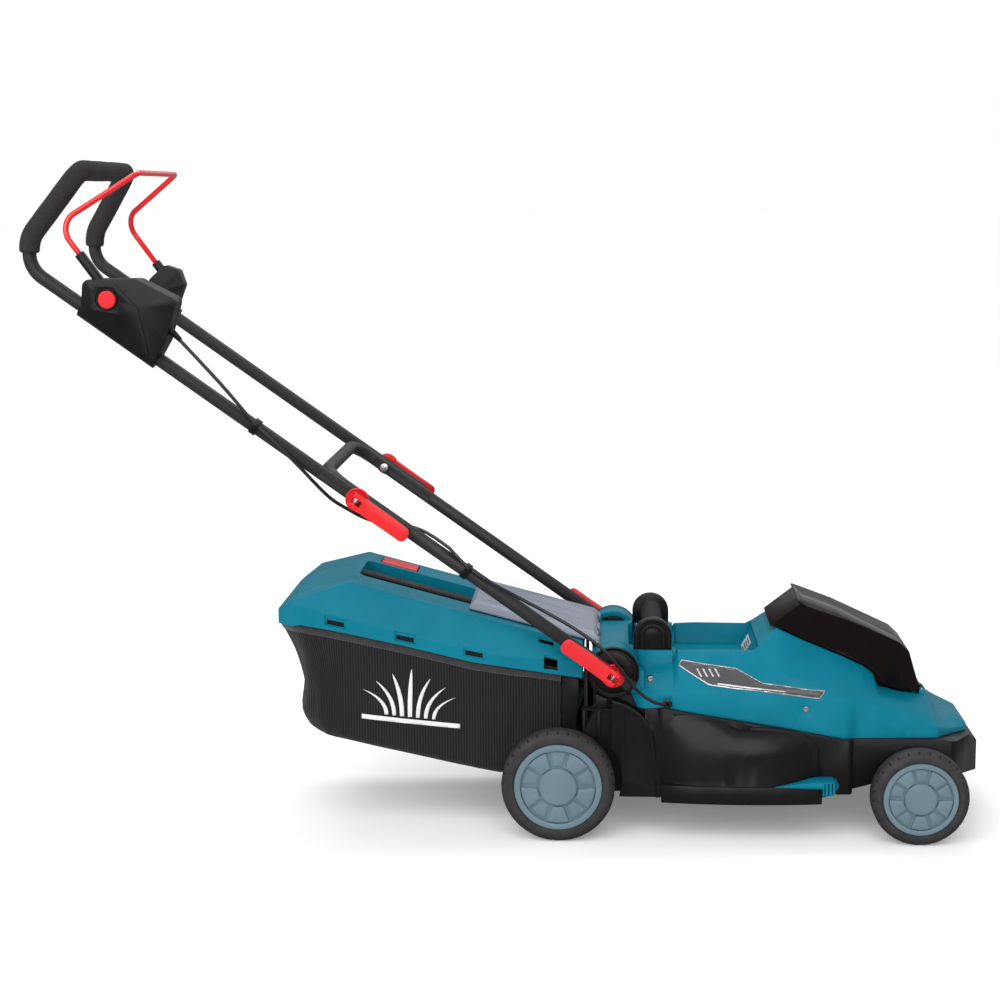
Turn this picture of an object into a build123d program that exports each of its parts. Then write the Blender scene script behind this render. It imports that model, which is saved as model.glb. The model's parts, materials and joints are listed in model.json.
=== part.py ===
"""Battery push lawn mower: deck, cover, wheels, cutting gear, folding handle, catcher and controls.

The drawing frame has X forward with zero at the rear axle, Y to the operator's left, Z up from the ground.
Every node is moved forward by FRAME_SHIFT when it is written, so the finished part is centred on its origin.
"""
from build123d import *
from math import atan2, cos, degrees, radians, sin, tan
import os

os.makedirs("parts", exist_ok=True)

# Driving dimensions, in millimetres
FRAME_SHIFT = 70.18
REAR_RADIUS = 85.0
FRONT_RADIUS = 72.0
WHEELBASE = 536.0
WHEEL_FACE = 198.0
TYRE_WIDTH = 38.0
AXLE_RADIUS = 5.0
RUNNING = 0.05
BLADE_X = 285.0
BLADE_LENGTH = 330.0
PLATE_Z = 150.0
PIVOT_X = 82.0
PIVOT_Z = 249.0
HANDLE_TILT = 35.5
TUBE_R = 10.0
TUBE_WALL = 1.2
LOWER_Y = 155.0
UPPER_Y = 173.5
LOWER_REACH = 525.0
JOINT_REACH = 462.0
UPPER_START = 385.0
TUBE_FLAT = 8.0
BEND_Z = 857.0
GRIP_X = -701.0
GRIP_Z = 998.0
GRIP_HALF = 135.0
BOX_OUTER = 205.0
BAIL_PIVOT = (-655.0, 828.0)
BAIL_Y = 188.0
BAIL_R = 4.25
RIM_HALF = 68.0
LID_HALF = 63.0
DECK_SIDE = 163.0
NOSE_SIDE = 149.0
VOLUTE_R = 190.0
VOLUTE_TOP = 170.0
BATTERY_TILT = -25.0
BATTERY_SPOT = (440.0, 262.0)
SCREW_SPOTS = ((138, 234, 129), (369, 197, 158))
CABLE_ENTRY = (163, 207)

UP = (-cos(radians(HANDLE_TILT)), sin(radians(HANDLE_TILT)))
SIDE = (UP[1], -UP[0])


def along(distance, offset=0.0):
    """X and Z of a point on the handle line, measured from its pivot, with a square offset forward and up."""
    x = PIVOT_X + distance * UP[0] + offset * SIDE[0]
    z = PIVOT_Z + distance * UP[1] + offset * SIDE[1]
    return x, z


def save(name, shape):
    """Write one node in the finished frame."""
    solids = [Pos(FRAME_SHIFT, 0, 0) * solid for solid in shape.solids()]
    moved = solids[0] if len(solids) == 1 else Compound(solids)
    moved.label = name
    export_step(moved, f"parts/{name}.step")


def slab(x0, x1, y0, y1, z0, z1):
    """A plain block between six limits."""
    return Pos((x0 + x1) / 2, (y0 + y1) / 2, (z0 + z1) / 2) * Box(x1 - x0, y1 - y0, z1 - z0)


def side_plate(points, y0, y1):
    """A plate whose XZ outline runs through the points, between two Y planes."""
    face = Plane.XZ * make_face(Polyline(*points, close=True))
    solid = extrude(face, amount=y1 - y0, dir=(0, 1, 0))
    return Pos(0, y0, 0) * solid


def plan_plate(points, z0, z1, radius=0.0):
    """A plate whose XY outline runs through the points, between two heights, with its corners rounded."""
    solid = Pos(0, 0, z0) * extrude(make_face(Polyline(*points, close=True)), amount=z1 - z0)
    if radius:
        solid = fillet(solid.edges().filter_by(Axis.Z), radius)
    return solid


def drum(x, z, y0, y1, radius):
    """A cylinder along Y."""
    return Pos(x, (y0 + y1) / 2, z) * Rot(90, 0, 0) * Cylinder(radius, y1 - y0)


def post(x, y, z0, z1, radius):
    """A cylinder along Z."""
    return Pos(x, y, (z0 + z1) / 2) * Cylinder(radius, z1 - z0)


def both(shape):
    """A shape and its mirror image across the middle plane."""
    return [shape, mirror(shape, Plane.XZ)]


def group(shapes):
    """Several separate solids as one node."""
    solids = []
    for shape in shapes:
        solids.extend(shape.solids())
    return Compound(solids)


def turned(shape, x, z, angle, y=0.0):
    """A shape drawn at the origin, turned by an angle in the XZ plane and set at a point."""
    return Pos(x, y, z) * Rot(0, -angle, 0) * shape


def revolve_y(points):
    """A ring about the Y axis, from its outline in radius and Y."""
    face = make_face(Polyline(*[(r, y) for r, y in points], close=True))
    return revolve(face, Axis.Y)


# Wheels ------------------------------------------------------------------------------------------------

def wheel_tyre(radius, rim):
    """A tyre about the Y axis, outer face towards minus Y, with tread blocks on its shoulders."""
    half = TYRE_WIDTH / 2
    outline = [(rim, -half + 2), (rim + 2, -half), (radius - 9, -half), (radius - 3, -half + 4)]
    outline += [(radius, -half + 9), (radius, half - 9), (radius - 3, half - 4), (radius - 9, half)]
    outline += [(rim + 2, half), (rim, half - 2)]
    tyre = revolve_y(outline)
    count = round(radius / 2.6)
    notches = []
    for i in range(count):
        for end in (-1, 1):
            notch = Pos(radius - 1.5, end * (half - 4), 0) * Box(5, 13, 2.2)
            notches.append(Rot(0, 360 / count * (i + 0.25 * end), 0) * notch)
    return tyre - notches


def hub_pad(inner, outer, wide, y0, y1):
    """A sector of a ring about the Y axis, centred on plus X, with its corners rounded."""
    arc = [-wide + wide / 4 * i for i in range(9)]
    outline = [(inner * cos(a), inner * sin(a)) for a in (-wide * 0.8, 0, wide * 0.8)]
    outline += [(outer * cos(a), outer * sin(a)) for a in reversed(arc)]
    pad = side_plate(outline, y0, y1)
    return fillet(pad.edges().filter_by(Axis.Y), 1.2)


def wheel_hub(rim):
    """A moulded hub about the Y axis, outer face towards minus Y: flange ring, five raised pads and cap disc."""
    half = TYRE_WIDTH / 2
    ring = revolve_y([(rim * 0.86, -half + 1), (rim - 1, -half + 1), (rim, -half + 3), (rim, half - 3),
                      (rim - 3, half - 3), (rim * 0.86, -half + 8)])
    web = revolve_y([(rim * 0.4, -half + 7), (rim * 0.9, -half + 7), (rim * 0.9, -half + 11),
                     (rim * 0.4, -half + 11)])
    cap = revolve_y([(0, -half + 1.5), (rim * 0.4, -half + 1.5), (rim * 0.43, -half + 3),
                     (rim * 0.43, -half + 12), (0, -half + 12)])
    barrel = revolve_y([(0, -half + 6), (13, -half + 6), (13, half - 1), (0, half - 1)])
    bore = drum(0, 0, -half + 8, half, AXLE_RADIUS + RUNNING)
    raised = hub_pad(rim * 0.47, rim * 0.83, radians(17), -half + 2.2, -half + 8)
    sunk = hub_pad(rim * 0.49, rim * 0.81, radians(13), -half + 5.6, -half + 8)
    pads = [Rot(0, 90 - 72 * i, 0) * raised for i in range(5)]
    pads += [Rot(0, 54 - 72 * i, 0) * sunk for i in range(5)]
    return ring + [web, cap, barrel] + pads - bore


def build_wheels():
    """Four wheels, each a tyre and a hub."""
    offset = WHEEL_FACE - TYRE_WIDTH / 2
    for end, x, radius, rim in (("rear", 0.0, REAR_RADIUS, 66.0), ("front", WHEELBASE, FRONT_RADIUS, 55.5)):
        tyre = wheel_tyre(radius, rim)
        hub = wheel_hub(rim)
        for side, sign in (("right", -1), ("left", 1)):
            spot = Pos(x, sign * offset, radius)
            face = Rot(0, 0, 0) if sign < 0 else Rot(0, 0, 180)
            save(f"{end}_{side}_tyre", spot * face * tyre)
            save(f"{end}_{side}_hub", spot * face * hub)


def axles():
    """The two steel axles, each with a shoulder collar inside its wheels."""
    rods = []
    for x, z in ((0.0, REAR_RADIUS), (WHEELBASE, FRONT_RADIUS)):
        rod = drum(x, z, -188, 188, AXLE_RADIUS)
        for sign in (-1, 1):
            rod += drum(x, z, sign * 156 - 2, sign * 156 + 2, 9)
        rods.append(rod)
    return group(rods)


def axle_clamps():
    """Screwed clamp plates that hold both axles up against the deck."""
    clamps = []
    for x, z in ((0.0, REAR_RADIUS), (WHEELBASE, FRONT_RADIUS)):
        for y in (-108, 108):
            block = slab(x - 20, x + 20, y - 12, y + 12, z - 9, z - 0.2)
            block = block + slab(x - 8, x + 8, y - 12, y + 12, z - 12, z - 8)
            block -= drum(x, z, y - 20, y + 20, AXLE_RADIUS)
            clamps.append(block)
    return group(clamps)


# Deck --------------------------------------------------------------------------------------------------

SEAM = [(118, 196), (159, 198.5), (194, 192), (260, 181), (347, 167), (425, 153), (445, 151), (567, 151), (591, 147),
        (625, 139)]
FRONT_PLAN = [(430, 149), (586, 149), (594, 143), (644, 42)]


def wheel_cut(x, z, radius, inner):
    """Room for a pair of wheels beside the deck."""
    return [drum(x, z, inner, 230, radius), drum(x, z, -230, -inner, radius)]


def mirrored_plan(half):
    """A closed plan outline from its left half."""
    return half + [(x, -y) for x, y in reversed(half)]


FLANK_STATIONS = (
    # x, half width of the wall, height where the wall starts to bend, height of the shoulder
    (130, 158.6, 103, 203),
    (148, 161.4, 104, 202),
    (164, 171, 106, 200.5),
    (183, 180, 111, 197.5),
    (212, 186, 117, 192),
    (247, 188.8, 124, 180.5),
    (287, 189.6, 130, 169.4),
)


def volute(radius, top, rounding):
    """The round cutting chamber's outside, with a rounded shoulder, and the flank that climbs from it to the rear."""
    bowl = fillet(post(BLADE_X, 0, 60, top, radius).edges().sort_by(Axis.Z)[-1], rounding)
    flank = []
    grow = radius - VOLUTE_R
    for x, wall, low, high in FLANK_STATIONS:
        foot = Vector(x, wall + grow, 62)
        knee = Vector(x, wall + grow, low)
        crest = Vector(x, 150, high + grow)
        above_knee = (x, wall + grow, low + 0.58 * (high - low))
        bend = Bezier(knee, above_knee, (x, 75 + 0.5 * wall, high + grow), crest)
        inner_top, inner_foot = Vector(x, 90, high + grow), Vector(x, 90, 62)
        edges = [Line(foot, knee), bend, Line(crest, inner_top), Line(inner_top, inner_foot), Line(inner_foot, foot)]
        flank.append(make_face(Wire(edges)))
    side = loft(flank)
    return bowl + side + mirror(side, Plane.XZ)


def skirt_plan(y_end, y_middle, x0, x1):
    """A strip across the deck whose two long sides are bowed outwards."""
    middle = (x0 + x1) / 2
    left = ThreePointArc((x0, y_end), (middle, y_middle), (x1, y_end))
    right = ThreePointArc((x1, -y_end), (middle, -y_middle), (x0, -y_end))
    return make_face(Wire([left, Line((x1, y_end), (x1, -y_end)), right, Line((x0, -y_end), (x0, y_end))]))


def deck_nose():
    """The deck's front end: it narrows to a blunt nose whose lower edge comes down in front of the blade."""
    block = plan_plate(mirrored_plan(FRONT_PLAN), 60, 205)
    outline = [(430, 70), (461, 78), (500, 91), (600, 91), (644, 72), (647, 74), (644, 119), (625, 139), (591, 147),
               (567, 151), (430, 205)]
    return block & side_plate(outline, -200, 200)


def rear_panels():
    """The curved panels behind the chamber on each side, with seams, a shelf and two short webs."""
    outline = [(80, 60), (153, 60), (147, 115), (141, 158), (133, 177), (121, 191), (101, 203), (80, 211)]
    panel = side_plate(outline, -160, -138)
    panel -= side_plate([(80, 40), (146, 40), (141, 114), (135, 154), (127, 172), (116, 185), (98, 196), (80, 204)],
                        -151, -130)
    panel += side_plate([(146, 60), (153, 60), (147, 115), (141, 158), (133, 177), (121, 191), (101, 203), (80, 211),
                         (80, 206), (98, 198), (117, 187), (129, 174), (136, 156), (142, 114)], -162.5, -138)
    panel -= slab(98, 99.6, -165, -158.8, 92, 200)
    panel += slab(40, 50, -152, -138, 196, 220) + slab(56, 72, -154, -138, 196, 217)
    panel += slab(34, 82, -150, -138, 191, 194)
    return panel


def deck_housing():
    """The black deck: cutting chamber, motor plate, rear tunnel with handle brackets, axle seats and nose."""
    wide = plan_plate([(150, -163), (440, -163), (440, 163), (150, 163)], 92, 205, 9)
    wide += plan_plate([(390, -163), (440, -163), (440, 163), (390, 163)], 68, 94, 9)
    bowl = volute(VOLUTE_R, VOLUTE_TOP, 40)
    flange = volute(VOLUTE_R + 4, VOLUTE_TOP + 3, 42) & slab(BLADE_X, 440, -165.5, 165.5, 92, 190)
    skirt = Pos(0, 0, 60) * extrude(skirt_plan(186, 194, 154, 392), amount=27)
    rear = slab(-30, 140, -139, 139, 62, 240)
    body = wide + deck_nose() + bowl + flange + skirt
    above = [(60, 400), (60, 196)] + SEAM + [(644, 119), (700, 119), (700, 400)]
    body -= side_plate(above, -300, 300)
    body += rear & side_plate([(-30, 95), (20, 62), (128, 60), (140, 62), (140, 196), (128, 196),
                               (118, 204), (108, 212), (60, 220), (26, 116), (20, 104), (-30, 104)], -139, 139)
    for panels in both(rear_panels()):
        body += panels
    body -= wheel_cut(WHEELBASE, FRONT_RADIUS, 82, 149)
    body -= wheel_cut(0, REAR_RADIUS, 95, 139)
    chamber = post(BLADE_X, 0, 40, PLATE_Z - 4, 176)
    tunnel = side_plate([(160, 40), (108, 62), (70, 92), (20, 99), (-40, 99), (-40, 300), (48, 300), (60, 212),
                         (106, 202), (150, PLATE_Z - 4), (200, PLATE_Z - 4), (200, 40)], -118, 118)
    upper_room = plan_plate(mirrored_plan([(134, 150), (152, 155), (436, 158)]), PLATE_Z, 260, 5)
    nose_room = plan_plate(mirrored_plan([(430, 143), (562, 143), (570, 126), (588, 102), (617, 54)]), 128, 260)
    body -= [chamber, tunnel, upper_room, nose_room]
    under = plan_plate(mirrored_plan([(472, 143), (586, 143), (637, 38)]), 40, 122)
    under &= side_plate([(460, 30), (660, 30), (660, 104), (628, 108), (600, 122), (460, 122)], -200, 200)
    body -= under - slab(WHEELBASE - 14, WHEELBASE + 14, -143, 143, 40, 122)
    body -= slab(WHEELBASE - 14.2, WHEELBASE + 14.2, -92, 92, 40, 122)
    body -= slab(WHEELBASE - 30, WHEELBASE + 30, -150, 150, 0, FRONT_RADIUS - 0.1)
    body -= slab(-30, 30, -150, 150, 0, REAR_RADIUS - 0.1)
    body -= drum(WHEELBASE, FRONT_RADIUS, -160, 160, AXLE_RADIUS + RUNNING)
    body -= drum(0, REAR_RADIUS, -160, 160, AXLE_RADIUS + RUNNING)
    brackets = drum(PIVOT_X, PIVOT_Z, 112, 134, 30) + slab(PIVOT_X - 30, PIVOT_X + 30, 119, 134, 190, PIVOT_Z)
    for bracket in both(brackets):
        body += bracket
    for web in both(slab(37.6, 43, 120, 126, 140, 270)):
        body += web
    for i in range(4):
        rib_x = 36 + 22 * i
        for sign in (-1, 1):
            body += slab(rib_x, rib_x + 4, *sorted((sign * 136, sign * 145)), 112, 190)
    body -= drum(PIVOT_X, PIVOT_Z, -180, 180, 4 + RUNNING)
    body -= [drum(PIVOT_X, PIVOT_Z, -175, -139.5, 40), drum(PIVOT_X, PIVOT_Z, 139.5, 175, 40)]
    body -= post(BLADE_X, 0, 100, 200, 17)
    for spot in motor_screw_spots():
        body -= post(*spot, 130, 170, 2.6)
    body -= [drum(WHEELBASE, FRONT_RADIUS, 149, 230, 82), drum(WHEELBASE, FRONT_RADIUS, -230, -149, 82)]
    return body.solids().sort_by(SortBy.VOLUME)[-1]


def grass_combs():
    """A ribbed comb at the front end of each side skirt."""
    side = [(322, 87.6), (374, 96), (408, 96), (415, 93), (417, 87), (407, 75), (392.4, 75), (392.4, 87.2),
            (322, 87.2)]
    plan = [(322, -192), (392, -197), (410, -194), (417, -184), (417, -163.4), (322, -163.4)]
    comb = side_plate(side, -197, -163.4) & plan_plate(plan, 60, 110)
    for i in range(4):
        comb -= slab(394 + 5.5 * i, 396.2 + 5.5 * i, -198, -189.5 + 1.5 * i, 70, 94.5)
    comb -= volute(VOLUTE_R + 4.2, VOLUTE_TOP + 3.2, 42)
    return group(both(comb.solids().sort_by(SortBy.VOLUME)[-1]))


# Top cover ---------------------------------------------------------------------------------------------

COVER_STATIONS = (
    # x, base half width, then half width and height of the side's top, of the shoulder and of the crest
    (104, 138, (134, 212), (112, 232), (92, 246)),
    (128, 164, (156, 216), (116, 238), (93, 250)),
    (172, 165, (157, 221), (118, 243), (94, 254)),
    (180, 165, (157, 223), (118, 252), (95, 270)),
    (215, 165, (156, 226), (121, 253), (95, 271.5)),
    (263, 165, (153, 226.5), (122, 250), (95, 271)),
    (295, 165, (151, 226), (121, 246), (94, 271)),
    (306, 165, (150.7, 225.6), (120.9, 244.8), (87, 278.5)),
    (318, 165, (150.5, 225.3), (120.7, 243.4), (77.5, 289.5)),
    (331, 165, (150, 225), (120.5, 242), (RIM_HALF, 300)),
    (372, 164.5, (150, 223), (120, 236), (RIM_HALF, 281)),
    (425, 164, (149, 214), (120, 224), (RIM_HALF, 259)),
    (434, 160, (148, 210.5), (120, 221.5), (RIM_HALF, 255.5)),
    (443, 149.4, (146, 207), (119.5, 219), (RIM_HALF, 251)),
    (464, 149.4, (144, 202), (118, 214), (RIM_HALF, 241)),
    (479, 149.4, (143, 198), (116, 210), (RIM_HALF, 230)),
    (487, 149.4, (142, 195), (115, 207), (RIM_HALF, 210)),
    (517, 149.4, (140, 185), (112, 198), (RIM_HALF, 201.5)),
    (557, 149.4, (138, 170), (102, 185), (RIM_HALF - 1, 195)),
    (567, 149.2, (136, 166), (94, 179), (63, 190)),
    (574, 138, (126, 162), (82, 173), (60, 177)),
    (590, 112.5, (106, 155.5), (64, 165.5), (58, 166)),
    (624, 58, (57, 147), (55.5, 150), (48, 150.6)),
)
PAD_STEPS = ((120, 172, 98), (170, 177, 93))


def cover_body(inset):
    """The cover's body as a ruled loft through its stations, drawn in by an inset."""
    sections = []
    first, last = COVER_STATIONS[0][0], COVER_STATIONS[-1][0]
    for x, base, *corners in COVER_STATIONS:
        half = [(base - inset, 130)] + [(y - inset, z - inset) for y, z in corners]
        points = half + [(-y, z) for y, z in reversed(half)]
        place = min(max(x, first + inset), last - inset)
        sections.append(make_face(Polyline(*[Vector(place, y, z) for y, z in points], close=True)))
    return loft(sections, ruled=True)


def dome(inset):
    """The round housing over one handle pivot, on the right side."""
    shell = drum(PIVOT_X, PIVOT_Z, -139.4 + inset, -100 + inset, 38.5 - inset)
    return shell + slab(PIVOT_X - 34, PIVOT_X + 46, -139.4 + inset, -100, 206, PIVOT_Z)


def top_cover():
    """The teal cover: lofted body, rear bridge, pivot domes, pads under the grip, hand recess and battery mouth."""
    wall = 3.0
    outer = cover_body(0) + slab(50, 112.5, -101, 101, 226, 274)
    for part in both(dome(0)):
        outer += part
    for x0, x1, half in PAD_STEPS:
        outer += slab(x0, x1, -half, half, 236, 271.6)
    recess = plan_plate([(106, -74), (190, -74), (190, 74), (106, 74)], 238, 330, 8)
    recess += plan_plate([(180, -89), (304, -89), (304, 89), (180, 89)], 238, 330, 6)
    recess &= side_plate([(100, 240), (285, 238), (303, 268), (303, 340), (100, 340)], -100, 100)
    outer -= recess
    inner = cover_body(wall) + slab(114, 140, -94, 94, 150, 236)
    inner -= plan_plate([(102, -92), (306, -92), (306, 92), (102, 92)], 233, 360)
    cover = outer - inner
    mouth = [(334, 330), (342, 270), (433, 216), (528, 185), (528, 330)]
    cover -= side_plate(mouth, 8 - RIM_HALF, RIM_HALF - 8)
    below = [(0, 0), (0, 228), (104, 228), (118, 197.3)]
    below += [(x, z + 0.6) for x, z in SEAM] + [(700, 139), (700, 0)]
    cover -= side_plate(below, -300, 300)
    cover -= drum(PIVOT_X, PIVOT_Z, -136, -90, 31) + slab(PIVOT_X - 31, PIVOT_X + 31, -136, -90, 190, PIVOT_Z)
    cover -= drum(PIVOT_X, PIVOT_Z, 90, 136, 31) + slab(PIVOT_X - 31, PIVOT_X + 31, 90, 136, 190, PIVOT_Z)
    cover -= drum(PIVOT_X, PIVOT_Z, -180, 180, 7)
    cover -= drum(PIVOT_X, PIVOT_Z, -175, -139.5, 40) + drum(PIVOT_X, PIVOT_Z, 139.5, 175, 40)
    for y in (-63.5, 63.5):
        cover += slab(54, 60, y - 5.5, y + 5.5, 272, FLAP_HINGE[1]) + drum(*FLAP_HINGE, y - 5.5, y + 5.5, 3.6)
    for y in (-55, -32.5, 32.5, 55):
        cover += slab(551.5, 560.5, y - 2, y + 2, 180, LID_HINGE[1]) + drum(*LID_HINGE, y - 2, y + 2, 4.5)
    cover -= drum(*FLAP_HINGE, -98, 98, 2) + drum(*LID_HINGE, -57, 57, 2)
    for x, z, face in SCREW_SPOTS:
        cover -= drum(x, z, -face - 20, -face + 16, 4.5) + drum(x, z, face - 16, face + 20, 4.5)
    cover -= drum(*CABLE_ENTRY, -172, -140, 5)
    return cover.solids().sort_by(SortBy.VOLUME)[-1]


def motor_screw_spots():
    """The four motor screws, on a circle round the shaft."""
    return [(BLADE_X + 34 * cos(radians(a)), 34 * sin(radians(a))) for a in (45, 135, 225, 315)]


def housing_screws():
    """Screws that hold the cover to the deck from each side, and the motor to its plate."""
    screws = []
    for x, z, face in SCREW_SPOTS:
        screw = drum(x, z, 2 - face, 7 - face, 4.2) + drum(x, z, 6.5 - face, 14 - face, 2)
        screw -= Pos(x, 2 - face, z) * Box(5.5, 2.5, 1.2)
        screw -= Pos(x, 2 - face, z) * Box(1.2, 2.5, 5.5)
        screws += both(screw)
    for x, y in motor_screw_spots():
        screws.append(post(x, y, PLATE_Z - 4, 162, 2.4) + post(x, y, PLATE_Z - 8, PLATE_Z - 4, 4.5))
    return group(screws)


# Motor and cutting gear --------------------------------------------------------------------------------

def motor_housing():
    """The motor's stator can on the deck plate, with cooling slots and a bearing boss."""
    can = post(BLADE_X, 0, PLATE_Z + 0.2, 214, 46)
    can = fillet(can.edges().sort_by(Axis.Z)[-1], 5)
    can += post(BLADE_X, 0, 213, 222, 15)
    slots = [Rot(0, 0, 30 * i) * slab(24, 40, -3, 3, 205, 220) for i in range(12)]
    can -= [Pos(BLADE_X, 0, 0) * s for s in slots]
    can -= post(BLADE_X, 0, 100, 208, 38)
    can += post(BLADE_X, 0, PLATE_Z + 0.2, 156, 44) - post(BLADE_X, 0, 100, 200, 12)
    can -= [post(*spot, 140, 162, 2.4) for spot in motor_screw_spots()]
    can -= post(BLADE_X, 0, 200, 218, 6 + RUNNING)
    return can.solids().sort_by(SortBy.VOLUME)[-1]


def motor_rotor():
    """The rotor drum inside the stator, with the shaft that carries the blade."""
    return post(BLADE_X, 0, 164, 204, 35) + post(BLADE_X, 0, 78, 217, 6)


def blade_carrier():
    """The hub that clamps the blade to the shaft, with a small fan above it."""
    hub = post(BLADE_X, 0, 74.2, 100, 16) + post(BLADE_X, 0, 74.2, 79, 30)
    for i in range(6):
        hub += Pos(BLADE_X, 0, 0) * Rot(0, 0, 60 * i) * slab(14, 52, -1.5, 1.5, 84, 98)
    hub += post(BLADE_X, 0, 97, 100, 52)
    hub -= post(BLADE_X, 0, 78, 120, 6)
    hub -= post(BLADE_X, 0, 60, 90, 4)
    return hub


def blade():
    """The cutting blade: a flat bar with raised rear edges at its tips."""
    half = BLADE_LENGTH / 2
    bar = slab(-half, half, -24, 24, 70, 74)
    bar = fillet(bar.edges().filter_by(Axis.Z), 10)
    lift = make_face(Polyline((0, 24, 70), (0, 24, 74), (0, 6, 84), (0, 6, 80), close=True))
    wing = Pos(half - 60, 0, 0) * extrude(lift, amount=48, dir=(1, 0, 0))
    for turn in (0, 180):
        bar -= Rot(0, 0, turn) * slab(half - 60, half - 12, 12, 25, 60, 90)
        bar += Rot(0, 0, turn) * (wing & slab(0, half, 11, 30, 60, 90))
    bar = Pos(BLADE_X, 0, 0) * bar
    return bar - post(BLADE_X, 0, 60, 90, 5)


def controller_box():
    """The motor controller behind the motor, with cooling fins."""
    box = slab(150, 228, -42, 42, PLATE_Z + 0.2, 172)
    for i in range(9):
        box += slab(156 + 8 * i, 159 + 8 * i, -40, 40, 171, 182)
    return box


# Battery, lid and key ----------------------------------------------------------------------------------

def tilted(shape):
    """A shape drawn about the battery's centre, set in the battery's tilted seat."""
    return turned(shape, BATTERY_SPOT[0], BATTERY_SPOT[1], BATTERY_TILT)


def battery_pack():
    """The slide-in battery pack with rail grooves, terminal slots, vent ribs and a pocket for its latch."""
    pack = slab(-56, 56, -38, 38, -27, 27)
    pack = fillet(pack.edges().filter_by(Axis.Y), 5)
    for sign in (-1, 1):
        pack -= slab(-57, 57, *sorted((sign * 33, sign * 40)), -18, -12)
        pack -= slab(42, 58, *sorted((sign * 10, sign * 13)), -24, -8)
    for i in range(6):
        pack += slab(-20 + 12 * i, -14 + 12 * i, -30, 30, 26, 28.5)
    pack -= slab(-53, -33, -16, 16, 15, 40)
    return tilted(pack)


def battery_release():
    """The red push tab that frees the battery."""
    tab = slab(-52.6, -33.4, -15.6, 15.6, 19, 30)
    return tilted(fillet(tab.edges().filter_by(Axis.Y), 2))


def battery_bay():
    """The tray that the battery slides into, with side rails, a terminal block and a key socket."""
    tray = slab(-58, 72, -44, 44, -34, -28)
    for sign in (-1, 1):
        tray += slab(-50, 66, *sorted((sign * 39, sign * 44)), -34, -10)
        tray += slab(-50, 50, *sorted((sign * 34, sign * 40)), -17, -13)
    tray += slab(59, 72, -44, 44, -34, 6)
    for sign in (-1, 1):
        tray += slab(46, 60, *sorted((sign * 11, sign * 12)), -22, -10)
    tray += slab(-20, 16, 44, 58, -34, -6)
    tray -= slab(-10, 6, 48, 54.2, -26, 0)
    tray = tilted(tray)
    for x, top in ((400, 240), (500, 192)):
        tray += slab(x - 6, x + 6, -40, -28, PLATE_Z + 0.2, top) + slab(x - 6, x + 6, 28, 40, PLATE_Z + 0.2, top)
    return tray.solids().sort_by(SortBy.VOLUME)[-1]


def safety_key():
    """The red key that must be in its socket before the motor can start."""
    key = slab(-9.6, 5.6, 48.4, 53.8, -25, -5.6) + slab(-12, 8, 46, 56, -5.6, 6)
    return tilted(key)


LID_WINDOW = [(393, 315), (493, 275), (510, 262), (513, 200), (497, 200), (489, 217), (483, 236), (478, 240),
              (433, 261), (398, 275)]
LID_OUTER = [(322, 303), (367, 338), (373, 341), (427, 321), (519, 278), (534, 264), (551, 206)]
LID_SILL = [(545, 201), (517, 204), (489, 213.5), (481, 232), (466, 242.5), (433, 257.4), (372, 282.4), (336, 300.8)]
LID_HINGE = (556.0, 202.0)


def battery_lid():
    """The smoked lid: a hood with a finger lip, closed at its sides, with hinge ears at its low front end."""
    hood = side_plate(LID_OUTER + LID_SILL, -LID_HALF, LID_HALF)
    inside = [(330, 302), (375, 337), (426, 317.6), (517, 275), (530.6, 262), (545, 206), (536, 190)]
    hood -= side_plate(inside + [(433, 190), (340, 230)], -LID_HALF + 3, LID_HALF - 3)
    hood += side_plate([(367, 337.6), (363.5, 342), (366, 343.6), (380, 338.4)], -LID_HALF, LID_HALF)
    hood -= side_plate(LID_WINDOW, -70, 0.8 - LID_HALF) + side_plate(LID_WINDOW, LID_HALF - 0.8, 70)
    for sign in (-1, 1):
        y0, y1 = sorted((sign * 36, sign * 52))
        ear = side_plate([(546, 215), (551, 206), (549, 200), (545, 204)], y0, y1)
        ear += side_plate([(547, 212), (558, 206.5), (553, 198.5), (545, 203)], y0, y1)
        hood += ear + drum(*LID_HINGE, y0, y1, 5)
    hood -= drum(*LID_HINGE, -80, 80, 2 + RUNNING)
    return hood.solids().sort_by(SortBy.VOLUME)[-1]


def hinge_pins():
    """The steel pins of the battery lid and of the rear flap."""
    return group([drum(*LID_HINGE, -57, 57, 2), drum(*FLAP_HINGE, -98, 98, 2)])


# Carry handle ------------------------------------------------------------------------------------------

def carry_grip():
    """The ribbed hand grip across the deck."""
    grip = drum(142, 299, -81, 81, 13)
    for i in range(21):
        y = -73 + 7.3 * i
        grip += drum(142, 299, y - 2.1, y + 2.1, 16)
    return grip


def cap_arch(radius, y0, y1):
    """A round-topped plate of one of the grip's end caps."""
    arch = drum(142, 292, y0, y1, radius) + slab(142 - radius, 142 + radius, y0, y1, 272, 292)
    return arch - slab(100, 184, -100, -70, 200, 272)


def carry_caps():
    """The two arched end caps that carry the hand grip."""
    arch = cap_arch(29, -95, -81.2)
    arch = fillet(arch.faces().sort_by(Axis.Y)[0].edges(), 2.5)
    arch -= cap_arch(22, -96, -92.5) - cap_arch(18.5, -96, -92.5)
    arch -= cap_arch(14.5, -96, -93.5) - cap_arch(13, -96, -93.5)
    return group(both(arch))


# Rear flap and catcher ---------------------------------------------------------------------------------

FLAP_HINGE = (57.0, 283.0)


FLAP_ENDS = ((-137, 334.6), (57, 283.2))
FLAP_RISE = 12.5


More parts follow.
